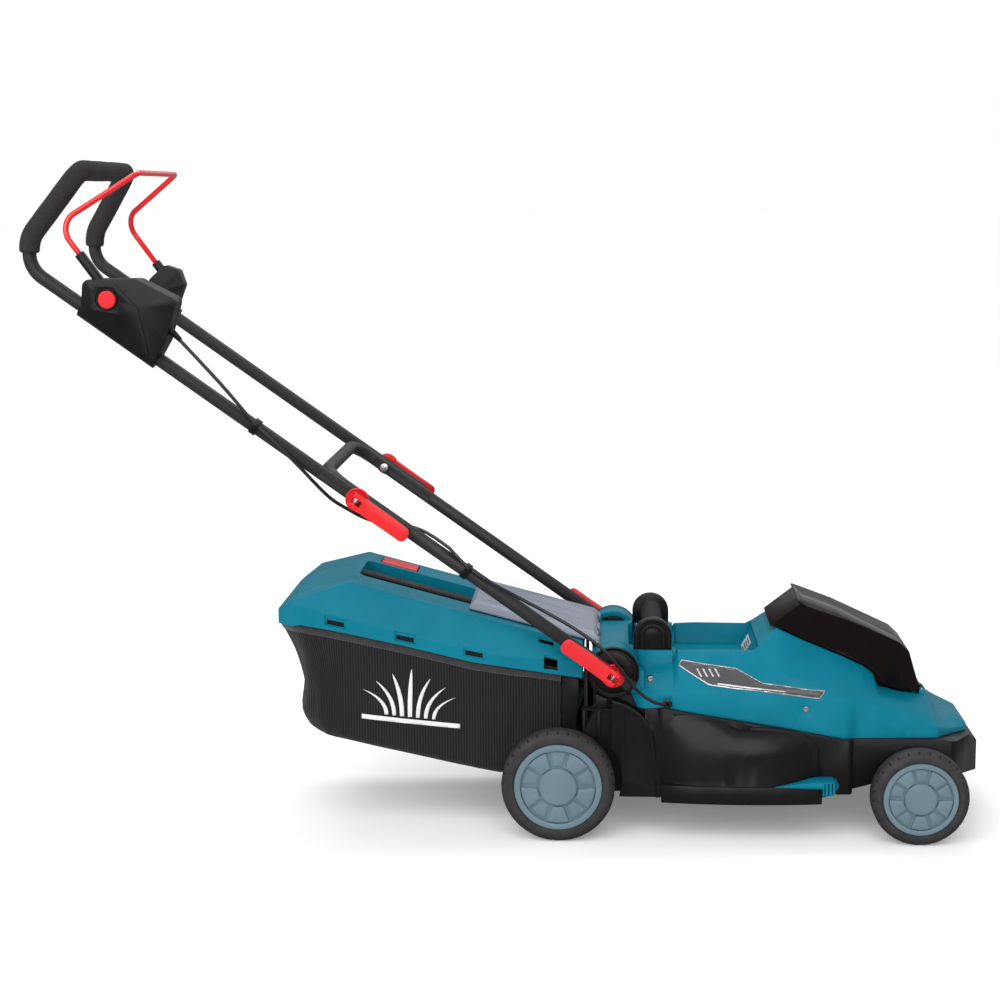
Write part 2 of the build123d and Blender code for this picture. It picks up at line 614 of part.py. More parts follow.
def flap_form(inset):
    """The flap's outer form, a shallow tray turned upside down, drawn in by an inset."""
    sections = []
    for x, z in FLAP_ENDS:
        half = [(97 - inset, z - 2 * inset), (97 - inset, z + 2), (82 - inset, z + FLAP_RISE - inset)]
        points = half + [(-y, z) for y, z in reversed(half)]
        sections.append(make_face(Polyline(*[Vector(x, y, z) for y, z in points], close=True)))
    form = loft(sections, ruled=True)
    ends = [(-137 + inset, 300), (-137 + inset, 337), (-124 + inset, 350), (40, 350), (50 - inset, 299 - inset),
            (57.5 - inset, 291), (57.5 - inset, 270), (20, 270)]
    return form & side_plate(ends, -120, 120)


def rear_flap():
    """The grey flap over the discharge opening, hinged at its front edge, with sloping sides and low ribs."""
    plate = flap_form(0) - flap_form(2.2)
    for y0, y1 in ((-95, -70), (-20, 20), (70, 95)):
        plate += drum(*FLAP_HINGE, y0, y1, 5) + slab(52, 57.5, y0, y1, 281, 289)
    plate -= drum(*FLAP_HINGE, -120, 120, 2 + RUNNING)
    plate -= drum(*FLAP_HINGE, -70, -57, 7) + drum(*FLAP_HINGE, 57, 70, 7)
    plate -= slab(50, 60, -70, -57, 265, 292) + slab(50, 60, 57, 70, 265, 292)
    for y in (-62, -20, 20, 62):
        plate += side_plate([(-112, 339.5), (30, 301.9), (30, 303.6), (-112, 341.2)], y - 1.2, y + 1.2)
    plate -= slab(12, 30, -52, -49.5, 290, 320)
    return plate.solids().sort_by(SortBy.VOLUME)[-1]


LID_TOP = [(-434, 330), (-424, 346), (-394, 360), (-318, 381), (36, 286.5)]
LID_RIM = [(36, 237), (-42, 250), (-132, 265), (-237, 290), (-342, 312), (-389, 320), (-425, 316)]


def catcher_hood(inset):
    """The catcher lid's outer form, drawn in by an inset."""
    low = [(x, z - 40) for x, z in LID_RIM]
    form = side_plate(LID_TOP + low, -150, 150)
    plan = [(-402, -150), (-120, -150), (36, -136), (36, 136), (-120, 150), (-402, 150)]
    plan += [(-428, 118), (-437, 60), (-437, -60), (-428, -118)]
    form &= plan_plate(plan, 150, 420)
    slope = atan2(LID_TOP[-1][1] - LID_TOP[-2][1], LID_TOP[-1][0] - LID_TOP[-2][0])
    for sign in (-1, 1):
        edge = 122
        wedge = [(sign * edge, 30), (sign * edge, 0), (sign * 151, -52), (sign * 180, -52), (sign * 180, 30)]
        face = make_face(Polyline(*[(0, y, z) for y, z in wedge], close=True))
        cutter = Pos(-260, 0, 0) * extrude(face, amount=700, dir=(1, 0, 0))
        cutter = Pos(-318, 0, 381) * Rot(0, -degrees(slope), 0) * Pos(0, 0, 0) * cutter
        form -= cutter
    return form


def catcher_lid():
    """The catcher's hard lid: a shell with a long hand slot, a bar in the slot and clip slots in its rim."""
    form = catcher_hood(0)
    rim = [(60, 100), (60, 233)] + LID_RIM + [(-500, 300), (-500, 100)]
    form -= side_plate(rim, -200, 200)
    inner = [(x + (3 if x < -300 else 0), z - 3) for x, z in LID_TOP[:-1]] + [(33, 284)]
    core = side_plate(inner + [(33, 100), (-425, 100)], -147, 147)
    plan = [(-400, -147), (-120, -147), (33, -133), (33, 133), (-120, 147), (-400, 147)]
    core &= plan_plate(plan + [(-425, 116), (-434, 58), (-434, -58), (-425, -116)], 100, 420)
    slope = atan2(LID_TOP[-1][1] - LID_TOP[-2][1], LID_TOP[-1][0] - LID_TOP[-2][0])
    for sign in (-1, 1):
        wedge = [(sign * 119.5, 30), (sign * 119.5, -3), (sign * 148, -55), (sign * 180, -55), (sign * 180, 30)]
        face = make_face(Polyline(*[(0, y, z) for y, z in wedge], close=True))
        cutter = Pos(-260, 0, 0) * extrude(face, amount=700, dir=(1, 0, 0))
        core -= Pos(-318, 0, 381) * Rot(0, -degrees(slope), 0) * cutter
    shell = form - core
    tub = plan_plate([(-312, -58), (-133, -58), (-133, 58), (-312, 58)], 250, 420, 14)
    well = side_plate([(-400, 420), (-400, 336), (-100, 290), (-100, 420)], -100, 100)
    wall = plan_plate([(-315, -61), (-130, -61), (-130, 61), (-315, 61)], 250, 420, 17)
    floor = side_plate([(-400, 333), (-400, 330), (-100, 287), (-100, 290)], -100, 100)
    keep = catcher_hood(0) - side_plate(rim, -200, 200)
    shell = shell - tub
    shell += (wall - tub) & well & keep
    shell += wall & floor & keep
    shell -= slab(-288, -228, 78, 102, 330, 400)
    shell += slab(-289, -227, 77, 103, 345, 352) & keep
    for x, z in ((-336, 324), (-231, 301), (-127, 278), (-11, 255)):
        for sign in (-1, 1):
            shell -= slab(x - 13, x + 13, *sorted((sign * 138, sign * 160)), z - 4, z + 4)
    return shell.solids().sort_by(SortBy.VOLUME)[-1]


def catcher_grip():
    """The black bar in the lid's slot, by which the catcher is lifted."""
    bar = side_plate([(-311.8, 373), (-311.8, 361), (-133.3, 313.5), (-133.3, 325.5)], -13, 13)
    return fillet(bar.edges().filter_by(Axis.Y), 3)


BAG_LOW = [(-399, 184), (-393, 163), (-372, 151), (-340, 140), (-280, 127), (-212, 112), (-150, 98.5), (-89, 86),
           (-64, 88), (-40, 107), (16, 108)]


def bag_form(inset):
    """The grass bag's outer form, drawn in by an inset."""
    top = [(x, z - 0.6) for x, z in LID_RIM[1:]]
    start = (17 - (0 if inset == 0 else -30), 239.5)
    outline = [start] + top + [(-418, 290), (-398, 222)]
    outline += BAG_LOW
    form = side_plate(outline, -144, 144)
    plan = [(-400, -143), (-120, -143), (17, -131), (17, 131), (-120, 143), (-400, 143)]
    return form & plan_plate(plan + [(-424, 112), (-430, 56), (-430, -56), (-424, -112)], 60, 420)


def catcher_bag():
    """The fabric bag below the lid, open at its front."""
    outer = bag_form(0)
    hollow = side_plate([(30, 250), (-42, 262), (-237, 302), (-389, 332), (-412, 300), (-393, 222), (-394, 186),
                         (-388, 167), (-369, 155.5), (-339, 144.5), (-279, 131.5), (-211, 116.5), (-149, 103),
                         (-88, 90.5), (-66, 92.5), (-42, 111.5), (30, 113)], -139, 139)
    plan = [(-398, -138), (-120, -138), (40, -124), (40, 124), (-120, 138), (-398, 138)]
    hollow &= plan_plate(plan + [(-418, 108), (-424, 54), (-424, -54), (-418, -108)], 60, 420)
    bag = outer - hollow - slab(3, 40, -200, 200, 60, 400)
    return bag.solids().sort_by(SortBy.VOLUME)[-1]


def catcher_frame():
    """The stiff frame round the bag's mouth, hooked on the deck's rear edge."""
    frame = side_plate([(3.6, 107), (20, 107), (30, 200), (30, 234), (3.6, 240)], -131, 131)
    frame -= side_plate([(0, 116), (40, 116), (40, 227), (0, 227)], -121, 121)
    return frame


def level_indicator():
    """The red flap that drops when the catcher is full."""
    return side_plate([(-287, 368.6), (-229, 353.1), (-229, 357), (-287, 372.5)], 79, 101)


# Folding handle ----------------------------------------------------------------------------------------

def tube(path_points, radii, radius, inner):
    """A round tube along straight runs joined by tangent arcs."""
    path = FilletPolyline(*path_points, radius=radii)
    section = Plane(origin=path @ 0, z_dir=path % 0) * (Circle(radius) - Circle(inner) if inner else Circle(radius))
    return sweep(section, path=path)


def handle_cylinder(d0, d1, y, radius):
    """A cylinder along the handle line between two distances from the pivot, at one Y."""
    x0, z0 = along(d0)
    frame = Plane(origin=(x0, y, z0), z_dir=(UP[0], 0, UP[1]))
    return frame * Pos(0, 0, (d1 - d0) / 2) * Cylinder(radius, d1 - d0)


def squashed(legs, d0, d1, y):
    """Replace a stretch of round tube by one that is flattened in Y where it meets its neighbour."""
    core = handle_cylinder(d0, d1, y, TUBE_R) - handle_cylinder(d0 - 1, d1 + 1, y, 6.4)
    middle = (d0 + d1) / 2
    frame = Plane(origin=(*along(middle)[:1], y, along(middle)[1]), z_dir=(UP[0], 0, UP[1]), x_dir=(0, 1, 0))
    keep = frame * Box(2 * TUBE_FLAT, 60, d1 - d0)
    room = frame * Box(60, 60, d1 - d0)
    outside = room - keep
    around = room & handle_cylinder(d0, d1, y, 24)
    return legs - around + (core & keep) - (outside & around)


def lower_handle():
    """The lower handle frame: two legs and a cross bar from one bent tube."""
    x0, z0 = along(-30)
    x1, z1 = along(LOWER_REACH)
    points = [(x0, -LOWER_Y, z0), (x1, -LOWER_Y, z1), (x1, LOWER_Y, z1), (x0, LOWER_Y, z0)]
    frame = tube(points, [40, 40], TUBE_R, TUBE_R - TUBE_WALL)
    for sign in (-1, 1):
        frame = squashed(frame, -30, 48, sign * LOWER_Y)
        frame = squashed(frame, 372, 480, sign * LOWER_Y)
    frame -= drum(*along(0), -200, 200, 4)
    frame -= drum(*along(JOINT_REACH), -200, 200, 4 + RUNNING)
    return frame.solids().sort_by(SortBy.VOLUME)[-1]


def pivot_discs():
    """The black discs between the domes and the handle legs, with a raised outer ring."""
    disc = drum(PIVOT_X, PIVOT_Z, -146.8, -139.8, 39) - drum(PIVOT_X, PIVOT_Z, -150, -130, 4)
    disc -= drum(PIVOT_X, PIVOT_Z, -150, -144.5, 36) - drum(PIVOT_X, PIVOT_Z, -150, -144.5, 31)
    return group(both(disc))


def tube_caps():
    """Plastic caps that close the lower ends of the handle legs."""
    cap = handle_cylinder(-36, -30, -LOWER_Y, 10.5)
    cap = fillet(cap.edges().filter_by(GeomType.CIRCLE), 1.5)
    cap &= slab(0, 200, -LOWER_Y - TUBE_FLAT, -LOWER_Y + TUBE_FLAT, 150, 300)
    return group(both(cap + handle_cylinder(-30, -22, -LOWER_Y, 6.3)))


def pivot_bolt(x, z, head, pin, nut_size=7.5):
    """A bolt along Y on the right side, from its inner head to the cross pin of its lever."""
    bolt = drum(x, z, -pin, -head, 4) + drum(x, z, -head, -head + 5, nut_size)
    frame = Plane(origin=(x, -pin, z), z_dir=(SIDE[0], 0, SIDE[1]))
    return bolt + frame * Cylinder(3, 21)


LOWER_PIN = 177.0
UPPER_PIN = 195.7


def lower_bolts():
    """The two bolts that carry the folding handle on the deck."""
    return group(both(pivot_bolt(PIVOT_X, PIVOT_Z, 111.5, LOWER_PIN)))


def upper_bolts():
    """The two bolts that join the upper handle to the lower one."""
    x, z = along(JOINT_REACH)
    return both(pivot_bolt(x, z, 146.5, UPPER_PIN, 6.5))


def lever_seat(x, z, face):
    """The red washer under a cam lever on the right side, with a raised rim."""
    seat = drum(x, z, -face - 4, -face, 17.5) + drum(x, z, -face - 5.5, -face - 4, 17.5)
    seat -= drum(x, z, -face - 6, -face - 4, 15)
    return seat - drum(x, z, -face - 6, -face + 1, 4)


def cam_lever(x, z, pin, up_tube):
    """A red cam lever on the right side, lying along the tube from its cross pin."""
    blade_side = [(-6, -6), (8, -9.3), (14, -6.2), (60, -3), (86, 1), (92, 5), (91, 8.5), (60, 6.5), (20, 9), (-6, 9)]
    body = extrude(make_face(Polyline(*blade_side, close=True)), amount=11, both=True)
    plan = Pos(41, 0, 0) * Rot(90, 0, 0) * extrude(RectangleRounded(102, 22, 9.5), amount=20, both=True)
    body &= plan
    body += Cylinder(9.4, 22)
    body -= Cylinder(3 + RUNNING, 40)
    body -= Pos(-2, 0, 0) * Box(22, 40, 9.2)
    body -= Pos(52, 10.6, 0) * Rot(0, 0, -2) * Box(46, 4, 12)
    sign = 1 if up_tube else -1
    frame = Plane(origin=(x, -pin, z), x_dir=(sign * UP[0], 0, sign * UP[1]), z_dir=(sign * SIDE[0], 0, sign * SIDE[1]))
    return frame * body


def upper_path(start, bends=True):
    """Corner points of the upper handle from a distance along its line, right side first."""
    x0, z0 = along(start)
    low_x = PIVOT_X - (BEND_Z - PIVOT_Z) * UP[0] / -UP[1]
    right = [(x0, -UPPER_Y, z0), (low_x, -UPPER_Y, BEND_Z), (low_x + 2, -UPPER_Y, 901), (GRIP_X, -GRIP_HALF, GRIP_Z)]
    return right + [(x, -y, z) for x, y, z in reversed(right)]


def upper_handle():
    """The upper handle: two legs that bend up and close in to the hand grip, from one bent tube."""
    frame = tube(upper_path(UPPER_START), [42, 46, 28, 28, 46, 42], TUBE_R, TUBE_R - TUBE_WALL)
    for sign in (-1, 1):
        frame = squashed(frame, UPPER_START, 530, sign * UPPER_Y)
    frame -= drum(*along(JOINT_REACH), -220, 220, 4)
    return frame.solids().sort_by(SortBy.VOLUME)[-1]


def foam_grip():
    """The foam sleeve round the hand grip."""
    points = upper_path(UPPER_START)
    low = Vector(*points[2]) + (Vector(*points[1]) - Vector(*points[2])).normalized() * 21
    right = [tuple(low), points[2], points[3]]
    route = right + [(x, -y, z) for x, y, z in reversed(right)]
    return tube(route, [46, 28, 28, 46], 15, TUBE_R + 0.2)


# Switch box, bail and cable ----------------------------------------------------------------------------

BOX_OUTLINE = [(-688, 794), (-684, 842), (-606, 842), (-548, 812), (-566, 752), (-586, 718)]
SPLIT_Y = -173.5
BUTTON = (-649.0, 813.0)


def box_room(inset, y0, y1):
    """The switch box form between two Y planes, drawn in by an inset."""
    face = make_face(Polyline(*BOX_OUTLINE, close=True))
    face = fillet(face.vertices(), 11)
    if inset:
        face = offset(face, -inset)
    solid = extrude(Plane.XZ * face, amount=y1 - y0, dir=(0, 1, 0))
    return Pos(0, y0, 0) * solid


def bail_swing(y0, y1, reach=90):
    """The fan-shaped space that one leg of the bail sweeps, with room for its sleeve."""
    x, z = BAIL_PIVOT
    first, last, room = radians(124), radians(147), 9.2
    right = (x + room * sin(first), z - room * cos(first))
    left = (x - room * sin(last), z + room * cos(last))
    fan = [right, (right[0] + reach * cos(first), right[1] + reach * sin(first))]
    fan += [(left[0] + reach * cos(last), left[1] + reach * sin(last)), left]
    return side_plate(fan, y0, y1) + drum(x, z, y0, y1, 10.5)


def switch_box(outer):
    """One half of the switch box: the outer half holds the button ring, the inner half the bail's pin."""
    y0, y1 = (-BOX_OUTER, SPLIT_Y - 0.1) if outer else (SPLIT_Y + 0.1, -158)
    form = box_room(0, y0, y1)
    sleeve = handle_cylinder(818, 952, -UPPER_Y, 16) & slab(-900, -400, y0, y1, 600, 1000)
    room = box_room(3, y0 + 3, y1 + 9) if outer else box_room(3, y0 - 9, y1 - 3)
    form = form - room
    if outer:
        bulge = box_room(9, -BOX_OUTER - 2.4, -BOX_OUTER + 1)
        swoosh = side_plate([(-640, 838), (-604, 800), (-590, 730), (-612, 742), (-626, 790), (-690, 802),
                             (-690, 860)], -210, -200)
        form += bulge & swoosh
    form += sleeve
    form -= handle_cylinder(700, 1000, -UPPER_Y, TUBE_R + 0.1)
    form -= bail_swing(-196.5, -179.5)
    if outer:
        form += drum(*BUTTON, -206.8, -202.2, 19)
        form -= drum(*BUTTON, -209, -203, 16.5) - drum(*BUTTON, -209, -203, 15.2)
        form -= drum(*BUTTON, -220, -196.4, 13.6)
        form += strain_relief()
        form -= strain_frame() * Cylinder(CABLE_R + 0.1, 60)
        form -= cable(CABLE_UPPER, CABLE_R + 0.1)
    else:
        form += drum(*BAIL_PIVOT, -197, -170, 4) - handle_cylinder(700, 1000, -UPPER_Y, TUBE_R + 0.1)
    return form.solids().sort_by(SortBy.VOLUME)[-1]


STRAIN = (-562.0, 767.0)


def strain_frame():
    """The plane in which the cable leaves the switch box."""
    return Plane(origin=(STRAIN[0] + 3, -186, STRAIN[1] - 3), z_dir=(0.7, 0, -0.714))


def strain_relief():
    """The tapered sleeve where the cable leaves the switch box."""
    return strain_frame() * Pos(0, 0, 6) * Cone(5.4, 3.5, 20)


def safety_button():
    """The red round button that unlocks the bail."""
    button = drum(*BUTTON, -207.5, -199.5, 13.2)
    return fillet(button.faces().sort_by(Axis.Y)[0].edges(), 2)


def trigger_switch():
    """The electric switch inside the switch box."""
    switch = slab(-606, -584, -198, -182, 766, 786)
    return switch + slab(-600, -592, -194, -186, 785, 790)


def bail_bracket():
    """The bracket on the left leg that carries the bail's other end."""
    outline = [(-692, 790), (-680, 826), (-656, 848), (-632, 840), (-624, 816), (-640, 774), (-652, 760)]
    form = side_plate(outline, 174, 202)
    form = fillet(form.edges().filter_by(Axis.Y), 5)
    form -= mirror(bail_swing(-196.5, -179.5), Plane.XZ)
    form += handle_cylinder(884, 934, UPPER_Y, 16)
    form -= handle_cylinder(800, 1000, UPPER_Y, TUBE_R + 0.1)
    form += drum(*BAIL_PIVOT, 174, 202, 4)
    return form.solids().sort_by(SortBy.VOLUME)[-1]


def handle_screws():
    """The screws of the switch box, and the one on the bail bracket."""
    screws = []
    for x, z in ((-664, 812), (-604, 812), (-574, 764)):
        screws.append(drum(x, z, -158, -155.4, 3.6) - Pos(x, -155.4, z) * Box(4.4, 2, 1))
    x, z = BAIL_PIVOT
    head = drum(x, z, 202, 207.5, 6)
    screws.append(head - Pos(x, 207.5, z) * Box(8, 2.4, 1.4) - Pos(x, 207.5, z) * Box(1.4, 2.4, 8))
    return screws


BAIL_ELBOW = (-722.0, 921.0)
BAIL_TOP = (-618.0, 994.0)
BAIL_HALF = 121.0


def bail_leg():
    """The direction of the bail's lower legs, as a unit X and Z."""
    dx, dz = BAIL_ELBOW[0] - BAIL_PIVOT[0], BAIL_ELBOW[1] - BAIL_PIVOT[1]
    size = (dx * dx + dz * dz) ** 0.5
    return dx / size, dz / size


def bail_rod():
    """The red bail: one bent steel rod that is squeezed against the hand grip."""
    ux, uz = bail_leg()
    start = (BAIL_PIVOT[0] + 24 * ux, -BAIL_Y, BAIL_PIVOT[1] + 24 * uz)
    right = [start, (BAIL_ELBOW[0], -BAIL_Y, BAIL_ELBOW[1]), (BAIL_TOP[0], -BAIL_HALF, BAIL_TOP[1])]
    route = right + [(x, -y, z) for x, y, z in reversed(right)]
    return tube(route, [30, 20, 20, 30], BAIL_R, 0)


def bail_hubs():
    """The black hubs and sleeves that carry the bail's two ends on their pins."""
    ux, uz = bail_leg()
    hubs = []
    for sign, reach in ((-1, 62), (1, 30)):
        y = sign * BAIL_Y
        frame = Plane(origin=(BAIL_PIVOT[0], y, BAIL_PIVOT[1]), z_dir=(ux, 0, uz))
        hub = drum(*BAIL_PIVOT, y - 7.5, y + 7.5, 9.5)
        hub += frame * Pos(0, 0, reach / 2) * Cylinder(7.4, reach)
        hub -= frame * Pos(0, 0, 24 + 50) * Cylinder(BAIL_R, 100)
        hub -= drum(*BAIL_PIVOT, y - 9, y + 9, 4 + RUNNING)
        hubs.append(hub)
    return group(hubs)


CABLE_R = 2.6
CABLE_UPPER = [(-549, -186, 753), (-520, -187.5, 722), (-478, -188, 675), (-441, -188, 628), (-412, -187, 601),
               (-380, -186, 569), (-352, -183, 537), (-333, -176, 516), (-315, -168, 503)]
CABLE_LOWER = [(-315, -168, 503), (-286, -158, 484), (-256, -143, 473), (-222, -139, 471), (-190, -146, 460),
               (-161, -157, 440), (-133, -169, 411), (-101, -168, 391), (-60, -164, 368), (-19, -164, 346)]
CABLE_DECK = [(-19, -164, 346), (21, -168, 324), (58, -173, 300), (84, -175.5, 274), (103, -176.5, 247),
              (124, -177, 223), (143, -177, 211.5), (156, -175, 208), (162, -172, 207.2)]


def cable(points, radius=CABLE_R):
    """One length of the switch cable, with its ends drawn in a little and each corner's arc as large as fits."""
    corners = [Vector(*p) for p in points]
    corners[0] += (corners[1] - corners[0]).normalized() * 0.5
    corners[-1] += (corners[-2] - corners[-1]).normalized() * 0.5
    radii = []
    for a, b, c in zip(corners, corners[1:], corners[2:]):
        turn = radians((b - a).get_angle(c - b))
        radii.append(0.45 * min((b - a).length, (c - b).length) / tan(turn / 2))
    return tube([tuple(c) for c in corners], radii, radius, 0)


def cable_clip(distance, leg_y, route, index):
    """A moulded clip that holds the cable on one leg of the handle, at one corner of its route."""
    spot = route[index]
    ring = handle_cylinder(distance - 5, distance + 5, leg_y, 12.4)
    frame = Plane(origin=spot, z_dir=(UP[0], 0, UP[1]))
    middle = Vector(*along(distance)[:1], leg_y, along(distance)[1])
    eye = frame * Cylinder(5, 10)
    link = frame * Box(4, 4, 10)
    toward = (middle - Vector(*spot)) * 0.45
    clip = ring + eye + Pos(toward.X, toward.Y, toward.Z) * link
    clip -= handle_cylinder(distance - 9, distance + 9, leg_y, TUBE_R)
    return clip - frame * Cylinder(CABLE_R + 0.1, 30) - cable(route, CABLE_R + 0.1)


def cable_gland():
    """The rubber gland where the cable enters the cover."""
    gland = drum(*CABLE_ENTRY, -171.6, -158, 5) + drum(*CABLE_ENTRY, -168.5, -165.3, 7)
    return gland - drum(*CABLE_ENTRY, -180, -150, 2.8) - cable(CABLE_DECK, CABLE_R + 0.1)


def build_all():
    """Write every node."""
    build_wheels()
    save("axles", axles())
    save("axle_clamps", axle_clamps())
    save("deck_housing", deck_housing())
    save("grass_combs", grass_combs())
    save("top_cover", top_cover())
    save("housing_screws", housing_screws())
    save("motor_housing", motor_housing())
    save("motor_rotor", motor_rotor())
    save("blade_carrier", blade_carrier())
    save("blade", blade())
    save("blade_bolt", post(BLADE_X, 0, 62, 69.9, 9) + post(BLADE_X, 0, 69, 78, 4))
    save("controller_box", controller_box())
    save("battery_pack", battery_pack())
    save("battery_release", battery_release())
    save("battery_bay", battery_bay())
    save("safety_key", safety_key())
    save("battery_lid", battery_lid())
    save("hinge_pins", hinge_pins())
    save("carry_grip", carry_grip())
    save("carry_caps", carry_caps())
    save("rear_flap", rear_flap())
    save("catcher_lid", catcher_lid())
    save("catcher_grip", catcher_grip())
    save("catcher_bag", catcher_bag())
    save("catcher_frame", catcher_frame())
    save("level_indicator", level_indicator())
    save("lower_handle", lower_handle())
    save("pivot_discs", pivot_discs())
    save("tube_caps", tube_caps())
    save("lower_bolts", lower_bolts())
    save("upper_fasteners", group(upper_bolts() + handle_screws()))
    joint = along(JOINT_REACH)
    save("lower_lever_seats", group(both(lever_seat(PIVOT_X, PIVOT_Z, LOWER_Y + TUBE_FLAT))))
    save("upper_lever_seats", group(both(lever_seat(*joint, UPPER_Y + TUBE_FLAT))))
    lower_lever = cam_lever(PIVOT_X, PIVOT_Z, LOWER_PIN, True)
    upper_lever = cam_lever(*joint, UPPER_PIN, False)
    for name, lever in (("lower", lower_lever), ("upper", upper_lever)):
        save(f"{name}_lever_right", lever)
        save(f"{name}_lever_left", mirror(lever, Plane.XZ))
    save("upper_handle", upper_handle())
    save("foam_grip", foam_grip())
    save("switch_box_outer", switch_box(True))
    save("switch_box_inner", switch_box(False))
    save("safety_button", safety_button())
    save("trigger_switch", trigger_switch())
    save("bail_bracket", bail_bracket())
    save("bail_rod", bail_rod())
    save("bail_hubs", bail_hubs())
    save("cable_upper", cable(CABLE_UPPER))
    save("cable_lower", cable(CABLE_LOWER))
    save("cable_deck", cable(CABLE_DECK))
    save("cable_clip_upper", cable_clip(646, -UPPER_Y, CABLE_UPPER, 3))
    save("cable_clip_lower", cable_clip(269, -LOWER_Y, CABLE_LOWER, 6))
    save("cable_gland", cable_gland())


build_all()
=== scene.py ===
"""Push lawn mower: camera, light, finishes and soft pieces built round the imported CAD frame."""
import json
import math

import bmesh
import bpy
import numpy as np
from mathutils import Matrix, Vector, geometry, noise
from mathutils.bvhtree import BVHTree


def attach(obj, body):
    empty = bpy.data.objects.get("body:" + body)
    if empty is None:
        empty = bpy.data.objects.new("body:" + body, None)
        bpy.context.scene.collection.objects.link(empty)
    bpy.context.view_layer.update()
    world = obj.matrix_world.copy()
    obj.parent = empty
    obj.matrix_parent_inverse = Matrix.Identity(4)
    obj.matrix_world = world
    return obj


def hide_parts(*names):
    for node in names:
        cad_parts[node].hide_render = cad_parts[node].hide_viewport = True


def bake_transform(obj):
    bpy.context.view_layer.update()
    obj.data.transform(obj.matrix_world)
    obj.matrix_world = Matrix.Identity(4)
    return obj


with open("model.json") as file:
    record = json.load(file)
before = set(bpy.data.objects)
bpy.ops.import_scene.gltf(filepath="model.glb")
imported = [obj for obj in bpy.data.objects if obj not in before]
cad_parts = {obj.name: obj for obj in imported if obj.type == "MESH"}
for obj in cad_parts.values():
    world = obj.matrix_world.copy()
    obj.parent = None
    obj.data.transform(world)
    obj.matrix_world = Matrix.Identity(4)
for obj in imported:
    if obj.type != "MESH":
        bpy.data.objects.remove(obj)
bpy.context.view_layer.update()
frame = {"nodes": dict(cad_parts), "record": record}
NODES = frame["nodes"]
SHIFT = 0.07018  # how far ahead of the CAD frame's middle the rear axle's middle lies, in metres
MM_PER_M = 1000


def at(x, y, z):
    """A point given in millimetres from the middle of the rear axle, in the CAD frame, in metres."""
    return Vector((x / MM_PER_M + SHIFT, y / MM_PER_M, z / MM_PER_M))


# Camera ------------------------------------------------------------------------------------------------

def camera():
    """The camera, about 2.9 m to the mower's right and a metre up, with its three axes given."""
    data = bpy.data.cameras.new("camera")
    data.sensor_width = 36.0
    data.lens = 66.816
    data.clip_end = 100
    obj = bpy.data.objects.new("camera", data)
    bpy.context.scene.collection.objects.link(obj)
    right = Vector((0.99819, 0.05966, -0.00789))
    up = Vector((-0.00191, 0.16246, 0.98671))
    ahead = Vector((-0.06015, 0.98491, -0.16228))
    turn = Matrix((right, up, -ahead)).transposed()
    obj.matrix_world = Matrix.Translation((0.0795 + SHIFT, -2.858, 0.958)) @ turn.to_4x4()
    bpy.context.scene.camera = obj


# Materials ---------------------------------------------------------------------------------------------

